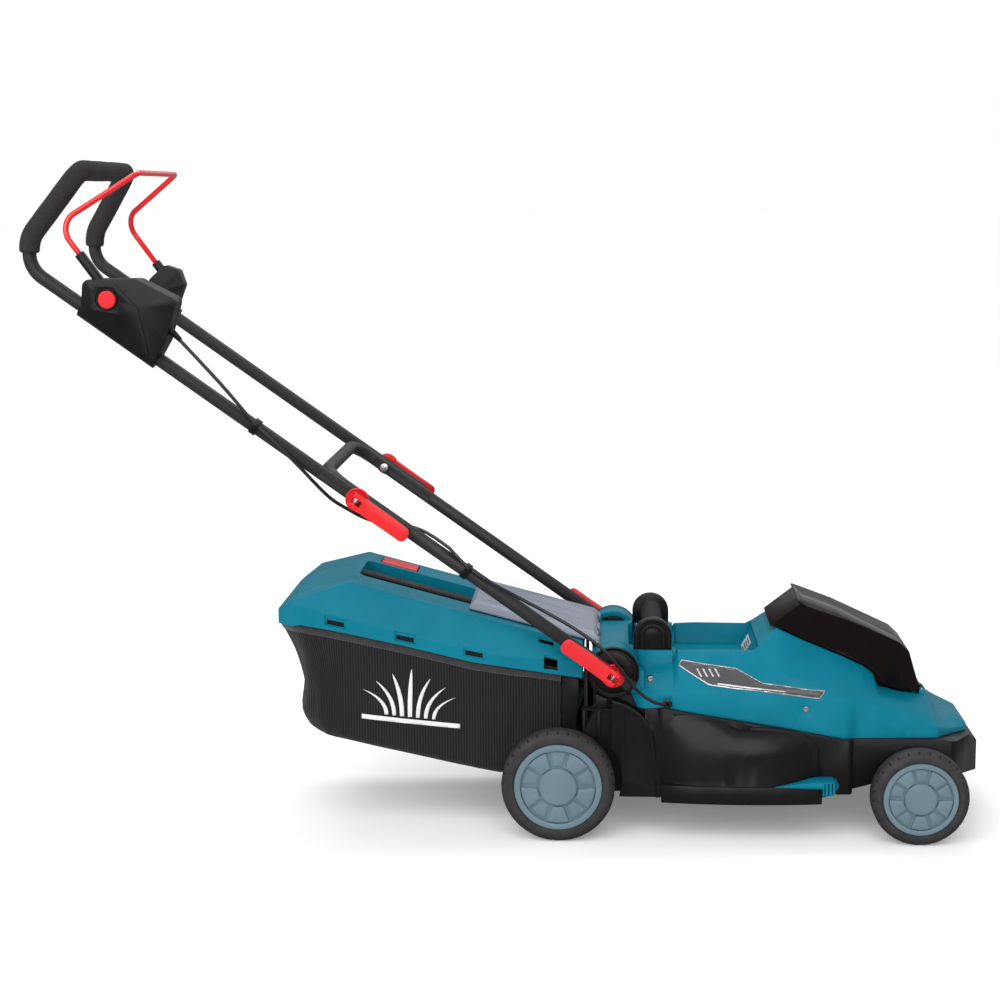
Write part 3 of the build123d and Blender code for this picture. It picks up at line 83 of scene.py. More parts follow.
class Finish:
    """A Principled material with small helpers for its nodes."""

    def __init__(self, name, color, rough, metallic=0.0, **sockets):
        self.mat = bpy.data.materials.new(name)
        self.mat.use_nodes = True
        self.tree = self.mat.node_tree
        self.bsdf = self.tree.nodes["Principled BSDF"]
        self.color = color
        self.set("Base Color", (*color, 1.0))
        self.set("Roughness", rough)
        self.set("Metallic", metallic)
        for key, value in sockets.items():
            self.set(key.replace("_", " ").title().replace("Ior", "IOR"), value)
        self.coord = self.tree.nodes.new("ShaderNodeTexCoord")
        self.source = self.coord.outputs["Object"]
        self.last_bump = None

    def set(self, socket, value):
        """Give a socket of the shader a fixed value."""
        self.bsdf.inputs[socket].default_value = value

    def link(self, a, b):
        self.tree.links.new(a, b)

    def noise(self, scale, detail=4.0, rough=0.55, stretch=None):
        """A noise texture over the piece; scale is in features per metre."""
        node = self.tree.nodes.new("ShaderNodeTexNoise")
        node.inputs["Scale"].default_value = scale
        node.inputs["Detail"].default_value = detail
        node.inputs["Roughness"].default_value = rough
        source = self.source
        if stretch:
            mapping = self.tree.nodes.new("ShaderNodeMapping")
            mapping.inputs["Scale"].default_value = stretch
            self.link(source, mapping.inputs["Vector"])
            source = mapping.outputs["Vector"]
        self.link(source, node.inputs["Vector"])
        return node.outputs["Fac"]

    def wave(self, pitch, direction, distortion=0.0):
        """Parallel ribs with a pitch in metres."""
        node = self.tree.nodes.new("ShaderNodeTexWave")
        node.wave_type = "BANDS"
        node.bands_direction = direction
        node.wave_profile = "SIN"
        node.inputs["Scale"].default_value = 2 * math.pi / (20 * pitch)
        node.inputs["Distortion"].default_value = distortion
        node.inputs["Detail"].default_value = 1.0
        self.link(self.source, node.inputs["Vector"])
        return node.outputs["Fac"]

    def ranged(self, value, low, high, start=0.3, end=0.7):
        """Stretch a texture's values from start to end over low to high."""
        node = self.tree.nodes.new("ShaderNodeMapRange")
        node.inputs["From Min"].default_value = start
        node.inputs["From Max"].default_value = end
        node.inputs["To Min"].default_value = low
        node.inputs["To Max"].default_value = high
        self.link(value, node.inputs["Value"])
        return node.outputs["Result"]

    def tint(self, value, dark, light):
        """Blend between a darker and a lighter form of the colour."""
        node = self.tree.nodes.new("ShaderNodeMix")
        node.data_type = "RGBA"
        node.inputs[6].default_value = (*[c * dark for c in self.color], 1.0)
        node.inputs[7].default_value = (*[min(1.0, c * light) for c in self.color], 1.0)
        self.link(value, node.inputs[0])
        self.link(node.outputs[2], self.bsdf.inputs["Base Color"])

    def roughness(self, value):
        """Let a texture set how rough the surface is."""
        self.link(value, self.bsdf.inputs["Roughness"])

    def bump(self, value, distance, strength=1.0):
        """Relief on top of the relief that is already there; distance in metres."""
        node = self.tree.nodes.new("ShaderNodeBump")
        node.inputs["Distance"].default_value = distance
        node.inputs["Strength"].default_value = strength
        self.link(value, node.inputs["Height"])
        if self.last_bump:
            self.link(self.last_bump, node.inputs["Normal"])
        self.last_bump = node.outputs["Normal"]
        self.link(self.last_bump, self.bsdf.inputs["Normal"])


def moulded(name, color, rough, grain=0.00004, spread=0.07, **sockets):
    """Moulded plastic with a fine eroded grain, slight flow marks and uneven gloss."""
    f = Finish(name, color, rough, **sockets)
    f.tint(f.ranged(f.noise(14, 3), 0.0, 1.0), 0.93, 1.07)
    f.roughness(f.ranged(f.noise(38, 5), rough - spread, rough + spread))
    f.bump(f.noise(1500, 2), grain)
    f.bump(f.noise(9, 2), 0.0006, 0.25)
    return f.mat


def rubber(name, color, rough, grain):
    """Rubber with a dusty bloom and a matt grain."""
    f = Finish(name, color, rough)
    f.tint(f.ranged(f.noise(60, 6, 0.65), 0.0, 1.0), 0.75, 1.45)
    f.roughness(f.ranged(f.noise(45, 4), rough - 0.08, rough + 0.1))
    f.bump(f.noise(900, 3), grain)
    return f.mat


def coated(name, color, rough, orange_peel=0.00005, **sockets):
    """Powder-coated or painted metal with a light orange peel and fine specks."""
    f = Finish(name, color, rough, **sockets)
    f.tint(f.ranged(f.noise(2600, 2), 0.0, 1.0, 0.35, 0.75), 0.86, 1.25)
    f.roughness(f.ranged(f.noise(30, 4), rough - 0.05, rough + 0.06))
    f.bump(f.noise(700, 2), orange_peel)
    return f.mat


def steel(name, color, rough, stretch):
    """Plated or ground metal with fine lines along one direction."""
    f = Finish(name, color, rough, metallic=1.0)
    f.tint(f.ranged(f.noise(30, 4), 0.0, 1.0), 0.85, 1.1)
    f.roughness(f.ranged(f.noise(350, 4, 0.6, stretch), rough - 0.08, rough + 0.1))
    f.bump(f.noise(500, 3, 0.6, stretch), 0.00003)
    return f.mat


def smoked():
    """Smoked clear plastic: dark, glossy, with faint wipe marks."""
    f = Finish("smoked_plastic", (0.018, 0.011, 0.011), 0.05, transmission_weight=0.72, ior=1.28)
    f.set("Coat Weight", 0.05)
    f.set("Coat Roughness", 0.04)
    f.roughness(f.ranged(f.noise(25, 5), 0.035, 0.1))
    f.bump(f.noise(11, 1), 0.0005, 0.3)
    return f.mat


def bag_cloth():
    """Black ribbed mesh fabric; its coordinates run along the bag's edge and down its side."""
    f = Finish("bag_cloth", (0.012, 0.0115, 0.0125), 0.8)
    f.set("Specular IOR Level", 0.25)
    f.set("Sheen Weight", 0.12)
    f.set("Sheen Roughness", 0.4)
    f.source = f.coord.outputs["UV"]
    ribs = f.wave(0.0042, "X", 0.6)
    weave = f.wave(0.0016, "Y", 0.4)
    f.tint(f.ranged(ribs, 0.0, 1.0, 0.1, 0.9), 0.6, 1.7)
    f.roughness(f.ranged(f.noise(60, 5), 0.66, 0.88))
    f.bump(ribs, 0.0007)
    f.bump(weave, 0.00025)
    f.bump(f.noise(20, 3), 0.002, 0.4)
    return f.mat


def webbing():
    """The black ribbed edging sewn to the bag's edges."""
    f = Finish("bag_edging", (0.02, 0.0195, 0.021), 0.7)
    f.set("Sheen Weight", 0.3)
    f.source = f.coord.outputs["UV"]
    f.bump(f.wave(0.0015, "Y"), 0.0004)
    f.bump(f.wave(0.0022, "X"), 0.0002)
    f.tint(f.ranged(f.noise(80, 4), 0.0, 1.0), 0.7, 1.4)
    return f.mat


def foam():
    """Closed-cell foam with a fine open skin."""
    f = Finish("foam_skin", (0.026, 0.0235, 0.0245), 0.93)
    f.set("Specular IOR Level", 0.25)
    f.tint(f.ranged(f.noise(900, 3), 0.0, 1.0), 0.65, 1.5)
    f.bump(f.noise(1100, 4, 0.7), 0.0004)
    f.bump(f.noise(70, 3), 0.0012, 0.5)
    return f.mat


def finishes():
    """Every finish by name."""
    return {
        "deck": moulded("deck_plastic", (0.006, 0.0052, 0.0056), 0.36, specular_ior_level=0.26),
        "inner": moulded("inner_plastic", (0.0075, 0.007, 0.0075), 0.45, specular_ior_level=0.18),
        "teal": moulded("cover_plastic", (0.001, 0.16, 0.232), 0.4, 0.00002, specular_ior_level=0.1),
        "tyre": rubber("tyre_rubber", (0.021, 0.0185, 0.0195), 0.72, 0.00012),
        "hub": moulded("hub_plastic", (0.115, 0.18, 0.215), 0.45, specular_ior_level=0.35),
        "flap": moulded("flap_plastic", (0.2, 0.225, 0.28), 0.34, 0.00001, 0.04),
        "smoked": smoked(),
        "tube": coated("tube_paint", (0.022, 0.02, 0.021), 0.45, specular_ior_level=0.3),
        "red": moulded("red_plastic", (0.66, 0.014, 0.02), 0.32, specular_ior_level=0.3),
        "red_paint": coated("red_paint", (0.72, 0.012, 0.014), 0.22, 0.00002, coat_weight=0.5),
        "foam": foam(),
        "cable": moulded("cable_jacket", (0.009, 0.009, 0.01), 0.2, 0.00002),
        "steel": steel("bright_steel", (0.62, 0.62, 0.64), 0.28, (1, 6, 1)),
        "blade": steel("blade_steel", (0.3, 0.3, 0.32), 0.36, (1, 12, 1)),
        "motor": steel("motor_metal", (0.42, 0.42, 0.44), 0.42, (1, 1, 8)),
        "bag": bag_cloth(),
        "webbing": webbing(),
        "print": moulded("pale_print", (0.72, 0.72, 0.72), 0.5),
        "plate": moulded("label_plate", (0.06, 0.06, 0.066), 0.3),
        "silver": moulded("label_silver", (0.62, 0.62, 0.64), 0.3, metallic=0.6),
        "sticker": moulded("rating_sticker", (0.5, 0.5, 0.52), 0.4),
    }


SLOT_FINISH = {
    "deck_plastic": "deck", "cover_plastic": "teal", "wheel_rubber": "tyre", "hub_plastic": "hub",
    "flap_plastic": "flap", "smoked_plastic": "smoked", "bag_fabric": "bag", "tube_paint": "tube",
    "red_plastic": "red", "red_paint": "red_paint", "foam_rubber": "foam", "cable_rubber": "cable",
    "bright_steel": "steel", "blade_steel": "blade", "motor_metal": "motor", "inner_plastic": "inner",
}
EDGE_ROUNDING = {
    "deck_plastic": 0.0014, "cover_plastic": 0.0016, "hub_plastic": 0.0008, "red_plastic": 0.001,
    "flap_plastic": 0.0008, "smoked_plastic": 0.0012, "inner_plastic": 0.0008, "wheel_rubber": 0.0006,
}
FINE_ROUNDING = 0.0003  # for the finishes that aren't listed


def dress_cad(made):
    """Give every CAD node its finish and softly rounded edges."""
    slot_of = {s["node"]: s["material_slot"] for s in frame["record"]["subparts"]}
    for name, obj in NODES.items():
        slot = slot_of[name]
        obj.data.materials.clear()
        obj.data.materials.append(made[SLOT_FINISH[slot]])
        weld = obj.modifiers.new("weld", "WELD")
        weld.merge_threshold = 0.00001
        obj.data.polygons.foreach_set("use_smooth", [True] * len(obj.data.polygons))
        bevel = obj.modifiers.new("bevel", "BEVEL")
        bevel.width = EDGE_ROUNDING.get(slot, FINE_ROUNDING)
        bevel.segments = 2
        bevel.limit_method = "ANGLE"
        bevel.angle_limit = math.radians(28)
        bevel.harden_normals = True


# Mesh helpers ------------------------------------------------------------------------------------------

def new_mesh(name, points, faces, finish, body=None, uv=None):
    """A mesh object from points in the CAD frame, with optional cloth coordinates for each point."""
    mesh = bpy.data.meshes.new(name)
    mesh.from_pydata([tuple(p) for p in points], [], faces)
    mesh.update()
    mesh.polygons.foreach_set("use_smooth", [True] * len(mesh.polygons))
    if uv is not None:
        layer = mesh.uv_layers.new(name="cloth")
        for loop in mesh.loops:
            layer.data[loop.index].uv = uv[loop.vertex_index]
    obj = bpy.data.objects.new(name, mesh)
    bpy.context.scene.collection.objects.link(obj)
    obj.data.materials.append(finish)
    if body:
        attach(obj, body)
    return obj


def grid_faces(rows, columns, closed=False):
    """Quads of a grid of rows by columns, with its columns joined round when it is closed."""
    faces = []
    span = columns if closed else columns - 1
    for i in range(rows - 1):
        for j in range(span):
            k = (j + 1) % columns
            faces.append((i * columns + j, i * columns + k, (i + 1) * columns + k, (i + 1) * columns + j))
    return faces


def rounded_path(points, radii, step=0.004):
    """Points along straight runs joined by arcs of the given radii, in metres."""
    path = [Vector(points[0])]
    for i, radius in enumerate(radii):
        a, b, c = (Vector(p) for p in points[i:i + 3])
        u, v = (a - b).normalized(), (c - b).normalized()
        half = u.angle(v) / 2
        cut = radius / math.tan(half)
        centre = b + (u + v).normalized() * (radius / math.sin(half))
        start, end = b + u * cut - centre, b + v * cut - centre
        turn = start.angle(end)
        count = max(6, round(radius * turn / step))
        for k in range(count + 1):
            t = k / count
            w0, w1 = math.sin((1 - t) * turn) / math.sin(turn), math.sin(t * turn) / math.sin(turn)
            path.append(centre + start * w0 + end * w1)
    path.append(Vector(points[-1]))
    dense = [path[0]]
    for a, b in zip(path, path[1:]):
        count = max(1, round((b - a).length / step))
        dense += [a.lerp(b, (k + 1) / count) for k in range(count)]
    return dense


def swept(name, path, radius_at, finish, sides):
    """A closed tube round a path, whose radius at each ring is a function of the angle round it."""
    reach = [0.0]
    for a, b in zip(path, path[1:]):
        reach.append(reach[-1] + (b - a).length)
    points = []
    side = (path[1] - path[0]).orthogonal().normalized()
    rings = len(path)
    for i, p in enumerate(path):
        ahead = (path[min(i + 1, rings - 1)] - path[max(i - 1, 0)]).normalized()
        side = (side - ahead * side.dot(ahead)).normalized()
        other = ahead.cross(side)
        radius = radius_at(reach[i], reach[-1])
        for k in range(sides):
            a = 2 * math.pi * k / sides
            r = radius(a)
            points.append(p + side * (r * math.cos(a)) + other * (r * math.sin(a)))
    faces = grid_faces(rings, sides, closed=True)
    faces.append(tuple(range(sides))[::-1])
    faces.append(tuple((rings - 1) * sides + k for k in range(sides)))
    return new_mesh(name, points, faces, finish)


# The grass bag -----------------------------------------------------------------------------------------

RIM_LINE = [(-430, 316), (-389, 320), (-342, 312), (-237, 290), (-132, 265), (-42, 250), (36, 237)]
LOW_LINE = [(-432, 190), (-412, 166), (-393, 155), (-372, 149), (-340, 140), (-280, 127), (-212, 112),
            (-150, 98.5), (-89, 86), (-64, 88), (-40, 106), (16, 106)]
BAG_FRONT = 3.0  # the open front edge, in millimetres ahead of the rear axle
BAG_SPINE = -345.0  # how far back the bottom is drawn in to the middle plane
CLOTH, EDGING = 0.0012, 0.0014  # thickness in metres
SIDE_DEPTH, HALF_FLOOR = 0.16, 0.14  # cloth coordinates down the side and across half the bottom


def line_z(line, x):
    """Height of a line of points at a distance along the mower."""
    return float(np.interp(x, [p[0] for p in line], [p[1] for p in line]))


def bag_plan():
    """The bag's edge seen from above, from the front on the right round the back to the front on the left."""
    half = [(BAG_FRONT, -133), (-120, -143), (-396, -143), (-428, -114), (-433, -60)]
    corners = half + [(x, -y) for x, y in reversed(half)]
    points = [at(x, y, 0) for x, y in corners]
    radii = [0.2, 0.045, 0.05, 0.15, 0.15, 0.05, 0.045, 0.2]
    return rounded_path(points, radii, 0.0045)


def bag_profile(v, x):
    """How far forward the back wall stands at a share v of the way down."""
    lean = np.interp(v, [0.0, 0.3, 0.62, 0.85, 1.0], [0.0, 17.0, 29.0, 27.0, 38.0])
    share = np.interp(x, [-400, -330], [1.0, 0.0])
    return float(lean * share)


def bag_relief(reach, total, v):
    """Folds and slackness in the bag's side, in millimetres outwards."""
    u = min(reach, total - reach)
    middle = math.sin(math.pi * min(1.0, max(0.0, v)))
    slack = -4.5 * middle
    flow = noise.noise(Vector((reach * 9, v * 1.1, 0.3))) * 3.4
    fine = noise.noise(Vector((reach * 34, v * 2.2, 4.1))) * 1.1
    corner = 0.425 + 0.035 * v
    fold = (u - corner) / 0.012
    crease = -5.0 * math.exp(-fold * fold) * middle
    ridge = 4.0 * math.exp(-((u - corner + 0.03) / 0.014) ** 2) * middle
    second = -2.6 * math.exp(-((u - 0.05 - 0.03 * v) / 0.01) ** 2) * middle
    return slack + (flow + fine) * middle + crease + ridge + second


# Shares of the way down the side and of the way in under the bottom, one pair for each row of points.
BAG_ROWS = [(v, 0.0) for v in np.linspace(0, 0.9, 20)] + [(0.94, 0.0), (0.97, 0.0), (0.99, 0.01), (1.0, 0.03)]
BAG_ROWS += [(1.0, w) for w in (0.07, 0.13, 0.22, 0.35, 0.5, 0.65, 0.8, 0.92, 1.0)]
EDGING_ROWS = [(v, 0.0) for v in (0.0, 0.02, 0.045, 0.07, 0.075)]


def bag_surface(plan, rows, offset=0.0):
    """Rows of points from the rim down the side and under the bottom, with cloth coordinates."""
    total = sum((b - a).length for a, b in zip(plan, plan[1:]))
    points, uv = [], []
    for v, w in rows:
        reach = 0.0
        for i, p in enumerate(plan):
            if i:
                reach += (p - plan[i - 1]).length
            a, b = plan[max(i - 1, 0)], plan[min(i + 1, len(plan) - 1)]
            ahead = (b - a).normalized()
            outward = Vector((-ahead.y, ahead.x, 0))
            if outward.dot(p - at(-200, 0, 0)) < 0:
                outward = -outward
            x, y = (p.x - SHIFT) * MM_PER_M, p.y * MM_PER_M
            push = bag_relief(reach, total, v) * (1 - w) + offset
            x += outward.x * push
            y += outward.y * push
            x += bag_profile(v, x)
            spine = max(BAG_SPINE, min(x, BAG_FRONT))
            x_in, y_in = x + (spine - x) * w, y * (1 - w)
            top, low = line_z(RIM_LINE, x), line_z(LOW_LINE, x_in)
            z = top - 0.8 + (low - top + 0.8) * v
            edge = 1 - math.exp(-w / 0.045)
            z += -1.5 * edge + 5.0 * (1 - edge) * max(0.0, (v - 0.9) / 0.1)
            z += noise.noise(Vector((x_in / 60, y_in / 70, 2.0))) * 2.0 * edge
            z -= 4.0 * math.sin(math.pi * w) * edge
            inset = 4.0 * max(0.0, (v - 0.93) / 0.07)
            y_in -= math.copysign(inset * (1 - w), y_in) if abs(y_in) > inset else 0.0
            points.append(at(x_in, y_in, z))
            uv.append((reach, v * SIDE_DEPTH + w * HALF_FLOOR))
    return points, uv


def grass_bag(made):
    """The sagging fabric bag under the catcher's lid, with the edging sewn to its rim."""
    plan = bag_plan()
    points, uv = bag_surface(plan, BAG_ROWS)
    bag = new_mesh("grass_bag", points, grid_faces(len(BAG_ROWS), len(plan)), made["bag"], "catcher", uv)
    solid = bag.modifiers.new("cloth", "SOLIDIFY")
    solid.thickness = CLOTH
    solid.offset = -1
    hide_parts("catcher_bag")
    points, uv = bag_surface(plan, EDGING_ROWS, 1.1)
    faces = grid_faces(len(EDGING_ROWS), len(plan))
    edging = new_mesh("bag_edging", points, faces, made["webbing"], "catcher", uv)
    edging.modifiers.new("cloth", "SOLIDIFY").thickness = EDGING
    return bag


# The catcher's lid -------------------------------------------------------------------------------------

CREST = (-318, 381)
LID_FALL = (381 - 286.5) / 354
SLOT_FALL = LID_FALL * 0.75
LID_EDGE = [(36, 233), (36, 237), (-42, 250), (-132, 265), (-237, 290), (-342, 312), (-389, 320), (-425, 316)]
SIDE_SLOTS = [(-336, 325), (-231, 302), (-127, 279)]
FRONT_SLOT = (-11, 256)
LID_WALL = 2.8  # millimetres
HOLE_DEPTH, WELL_DEPTH = 45, 48  # of the hand well's inside and its outside, below the flat top


def lid_height(x):
    """Height of the lid's flat top at a distance along the mower."""
    return CREST[1] - (x - CREST[0]) * LID_FALL


def lid_planes(inset):
    """The planes that bound the lid, each a point and an outward direction, drawn in by an inset."""
    planes = []
    profile = [(36, lid_height(36)), CREST, (-400, 357), (-431, 335), (-438, 300)]
    for a, b in zip(profile, profile[1:]):
        planes.append(((a[0], 0, a[1]), (b[1] - a[1], 0, a[0] - b[0])))
    for s in (-1, 1):
        planes.append(((CREST[0], 122 * s, CREST[1]), (28 * LID_FALL, 50 * s, 28)))
        planes.append(((0, 150 * s, 0), (0, s, 0)))
        planes.append(((36, 136 * s, 0), (14, 156 * s, 0)))
        planes.append(((-402, 150 * s, 0), (-32, 26 * s, 0)))
        planes.append(((-428, 118 * s, 0), (-58, 9 * s, 0)))
    planes += [((-437, 0, 0), (-1, 0, 0)), ((36, 0, 0), (1, 0, 0)), ((0, 0, 190), (0, 0, -1))]
    moved = []
    for point, normal in planes:
        normal = Vector(normal).normalized()
        moved.append((at(*point) - normal * (inset / MM_PER_M), normal))
    return moved


def carved(name, planes, rounding):
    """A solid cut out of a block by planes, with its upper edges rounded."""
    bm = bmesh.new()
    bmesh.ops.create_cube(bm, size=3.0)
    for point, normal in planes:
        parts = bm.verts[:] + bm.edges[:] + bm.faces[:]
        cut = bmesh.ops.bisect_plane(bm, geom=parts, plane_co=point, plane_no=normal, clear_outer=True)
        loop = [e for e in cut["geom_cut"] if isinstance(e, bmesh.types.BMEdge)]
        if loop:
            bmesh.ops.contextual_create(bm, geom=loop)
    bmesh.ops.remove_doubles(bm, verts=bm.verts, dist=0.0002)
    edges = [e for e in bm.edges if len(e.link_faces) == 2 and e.calc_face_angle() > math.radians(9)
             and min(v.co.z for v in e.verts) > 0.2]
    edges += [e for e in bm.edges if abs(e.verts[0].co.z - e.verts[1].co.z) > 0.02 and e not in edges
              and e.calc_face_angle() > math.radians(9)]
    bmesh.ops.bevel(bm, geom=edges, offset=rounding, segments=6, affect="EDGES", profile=0.5,
                    clamp_overlap=True)
    mesh = bpy.data.meshes.new(name)
    bm.to_mesh(mesh)
    bm.free()
    obj = bpy.data.objects.new(name, mesh)
    bpy.context.scene.collection.objects.link(obj)
    return obj


def between(name, low, high):
    """A closed solid between two loops of as many points."""
    count = len(low)
    faces = [tuple(range(count))[::-1], tuple(range(count, 2 * count))]
    faces += [(i, (i + 1) % count, count + (i + 1) % count, count + i) for i in range(count)]
    mesh = bpy.data.meshes.new(name)
    mesh.from_pydata([tuple(p) for p in low + high], [], faces)
    bm = bmesh.new()
    bm.from_mesh(mesh)
    bmesh.ops.recalc_face_normals(bm, faces=bm.faces)
    bm.to_mesh(mesh)
    bm.free()
    obj = bpy.data.objects.new(name, mesh)
    bpy.context.scene.collection.objects.link(obj)
    return obj


def block(x0, x1, y0, y1, z0, z1, turn=0.0):
    """A cutting block; turn slopes its top and bottom along the mower."""
    def corners(z):
        return [at(x, y, z - (x - (x0 + x1) / 2) * turn) for x, y in ((x0, y0), (x1, y0), (x1, y1), (x0, y1))]
    return between("block", corners(z0), corners(z1))


def combine(base, other, operation):
    """Join, cut or intersect two solids, and keep the result as plain mesh."""
    mod = base.modifiers.new("cut", "BOOLEAN")
    mod.operation = operation
    mod.solver = "EXACT"
    mod.object = other
    bpy.context.view_layer.update()
    mesh = bpy.data.meshes.new_from_object(base.evaluated_get(bpy.context.evaluated_depsgraph_get()))
    base.modifiers.clear()
    base.data = mesh
    bpy.data.objects.remove(other)


def rounded_plan(x0, x1, half, radius):
    """A rectangle with round corners, as points in plan."""
    corners = [(x0, -half), (x1, -half), (x1, half), (x0, half)]
    points = []
    for i, (x, y) in enumerate(corners):
        cx = x + (radius if x == x0 else -radius)
        cy = y + (radius if y < 0 else -radius)
        for k in range(6):
            a = math.radians(180 + 90 * i + 18 * k)
            points.append((cx + radius * math.cos(a), cy + radius * math.sin(a)))
    return points


def soft_edges(obj, finish, width=0.0008):
    """Small rounded edges and even shading for a solid made by cutting."""
    obj.data.materials.clear()
    obj.data.materials.append(finish)
    obj.data.polygons.foreach_set("use_smooth", [True] * len(obj.data.polygons))
    obj.data.set_sharp_from_angle(angle=math.radians(30))
    bevel = obj.modifiers.new("bevel", "BEVEL")
    bevel.width = width
    bevel.segments = 2
    bevel.limit_method = "ANGLE"
    bevel.angle_limit = math.radians(35)
    bevel.harden_normals = True


def catcher_lid(made):
    """The lid of the grass catcher: a rounded shell with a hand well, a rim band and clip slots."""
    lid = carved("catcher_hood", lid_planes(0), 0.017)
    below = [(60, 100), (60, 233)] + LID_EDGE[1:] + [(-500, 305), (-500, 100)]
    near, far = ([at(x, y, z) for x, z in below] for y in (-200, 200))
    combine(lid, between("rim", near, far), "DIFFERENCE")
    hollow = carved("hollow", lid_planes(LID_WALL), 0.014)
    well = rounded_plan(-314.6, -130.4, 58.6, 16)
    floor = [at(x, y, lid_height(x) - WELL_DEPTH) for x, y in well]
    combine(hollow, between("well", floor, [at(x, y, 420) for x, y in well]), "DIFFERENCE")
    combine(lid, hollow, "DIFFERENCE")
    hole = rounded_plan(-312, -133, 56, 14)
    floor = [at(x, y, lid_height(x) - HOLE_DEPTH) for x, y in hole]
    combine(lid, between("hole", floor, [at(x, y, 420) for x, y in hole]), "DIFFERENCE")
    combine(lid, block(-293, -233, 65, 109, 350, 400, LID_FALL), "DIFFERENCE")
    for s in (-1, 1):
        cuts = []
        for x, z in SIDE_SLOTS:
            cuts.append((x - 16, x + 16, 147.6, z - 8, z + 7, SLOT_FALL))
            cuts.append((x - 13, x + 13, 136, z - 6, z + 1, SLOT_FALL))
        cuts += [(-30, -8, 124, 288, 296, LID_FALL), (-22, 0, 136.6, 251, 272, LID_FALL * 0.5)]
        for x0, x1, y, z0, z1, fall in cuts:
            combine(lid, block(x0, x1, *sorted((y * s, 160 * s)), z0, z1, fall), "DIFFERENCE")
    soft_edges(lid, made["teal"])
    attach(lid, "catcher")
    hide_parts("catcher_lid")
    clips = None
    for s in (-1, 1):
        for x, z in SIDE_SLOTS + [FRONT_SLOT]:
            wide, y = (8.5, 137) if (x, z) == FRONT_SLOT else (12.4, 146.5)
            span = sorted(((y - 5) * s, (y + 0.4) * s))
            clip = block(x - wide, x + wide, *span, z - 5.4, z - 0.4, SLOT_FALL)
            if clips is None:
                clips = clip
            else:
                combine(clips, clip, "UNION")
    clips.name = "lid_clips"
    soft_edges(clips, made["inner"], 0.0005)
    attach(clips, "catcher")


def hand_bar(made):
    """The ribbed black bar across the lid's hand well, with a rib every third ring of points."""
    points, count = [], 90
    section = [(-14, -9), (-14, -2.5), (-11, 0), (11, 0), (14, -2.5), (14, -9), (10, -14), (-10, -14)]
    for i in range(count + 1):
        x = -311.5 + 178 * i / count
        rib = 0.9 * (0.5 - 0.5 * math.cos(2 * math.pi * i / 3))
        shut = 0.0 if 0 < i < count else 1.0
        for y, z in section:
            points.append(at(x, y, lid_height(x) - 4.6 + z * (1 - 0.1 * shut) - (rib if z > -5 else 0)))
    faces = grid_faces(count + 1, len(section), closed=True)
    faces.append(tuple(range(len(section)))[::-1])
    faces.append(tuple(count * len(section) + k for k in range(len(section))))
    bar = new_mesh("catcher_bar", points, faces, made["inner"], "catcher")
    bar.data.set_sharp_from_angle(angle=math.radians(32))
    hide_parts("catcher_grip")


def level_flag(made):
    """The red flag that lifts out of the lid when the bag is empty."""
    flag = block(-291, -235, 67, 107, lid_height(-263) - 2.2, lid_height(-263) + 1.2, LID_FALL)
    flag.name = "level_flag"
    knuckle = block(-290, -282, 74, 100, lid_height(-286) - 6, lid_height(-286), LID_FALL)
    combine(flag, knuckle, "UNION")
    soft_edges(flag, made["red"], 0.0009)
    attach(flag, "indicator")
    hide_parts("level_indicator")


# Foam grip and cable -----------------------------------------------------------------------------------

def foam_grip(made):
    """The foam sleeve that wraps the upper handle's grip, with its slightly uneven skin."""
    tilt = math.radians(35.5)
    low_x = 82 - (857 - 249) * math.cos(tilt) / math.sin(tilt)
    lower, middle, top = at(low_x, -173.5, 857), at(low_x + 2, -173.5, 901), at(-701, -135, 998)
    start = middle + (lower - middle).normalized() * 0.021
    flip = [Vector((p.x, -p.y, p.z)) for p in (top, middle, start)]
    path = rounded_path([start, middle, top, *flip], [0.046, 0.028, 0.028, 0.046], 0.003)

    def radius_at(reach, total):
        end = min(reach, total - reach)
        rounding = 0.0022 * (1 - min(1.0, end / 0.003)) ** 2
        wave = noise.noise(Vector((reach * 26, 0.7, 1.9))) * 0.00045

        def radius(angle):
            dent = noise.noise(Vector((reach * 40, math.cos(angle) * 1.2, math.sin(angle) * 1.2))) * 0.0004
            return 0.0151 + wave + dent - rounding
        return radius

    grip = swept("foam_sleeve", path, radius_at, made["foam"], sides=44)
    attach(grip, "handle_upper")
    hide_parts("foam_grip")


CABLE_RADIUS = 0.0026
CABLE_HIGH = [(-549, -186, 753), (-520, -187.5, 722), (-478, -188, 675), (-441, -188, 628), (-412, -187, 601),
              (-380, -186, 569), (-352, -183, 537), (-333, -176, 516), (-315, -168, 503), (-286, -158, 484),
              (-256, -143, 473), (-222, -139, 471), (-190, -146, 460), (-161, -157, 440)]
CABLE_LOW = [(-161, -157, 440), (-133, -169, 411), (-101, -168, 391), (-60, -164, 368), (-19, -164, 346),
             (21, -168, 324), (58, -173, 300), (84, -175.5, 274), (103, -176.5, 247), (124, -177, 223),
             (143, -177, 211.5), (156, -175, 208), (162, -168, 207)]


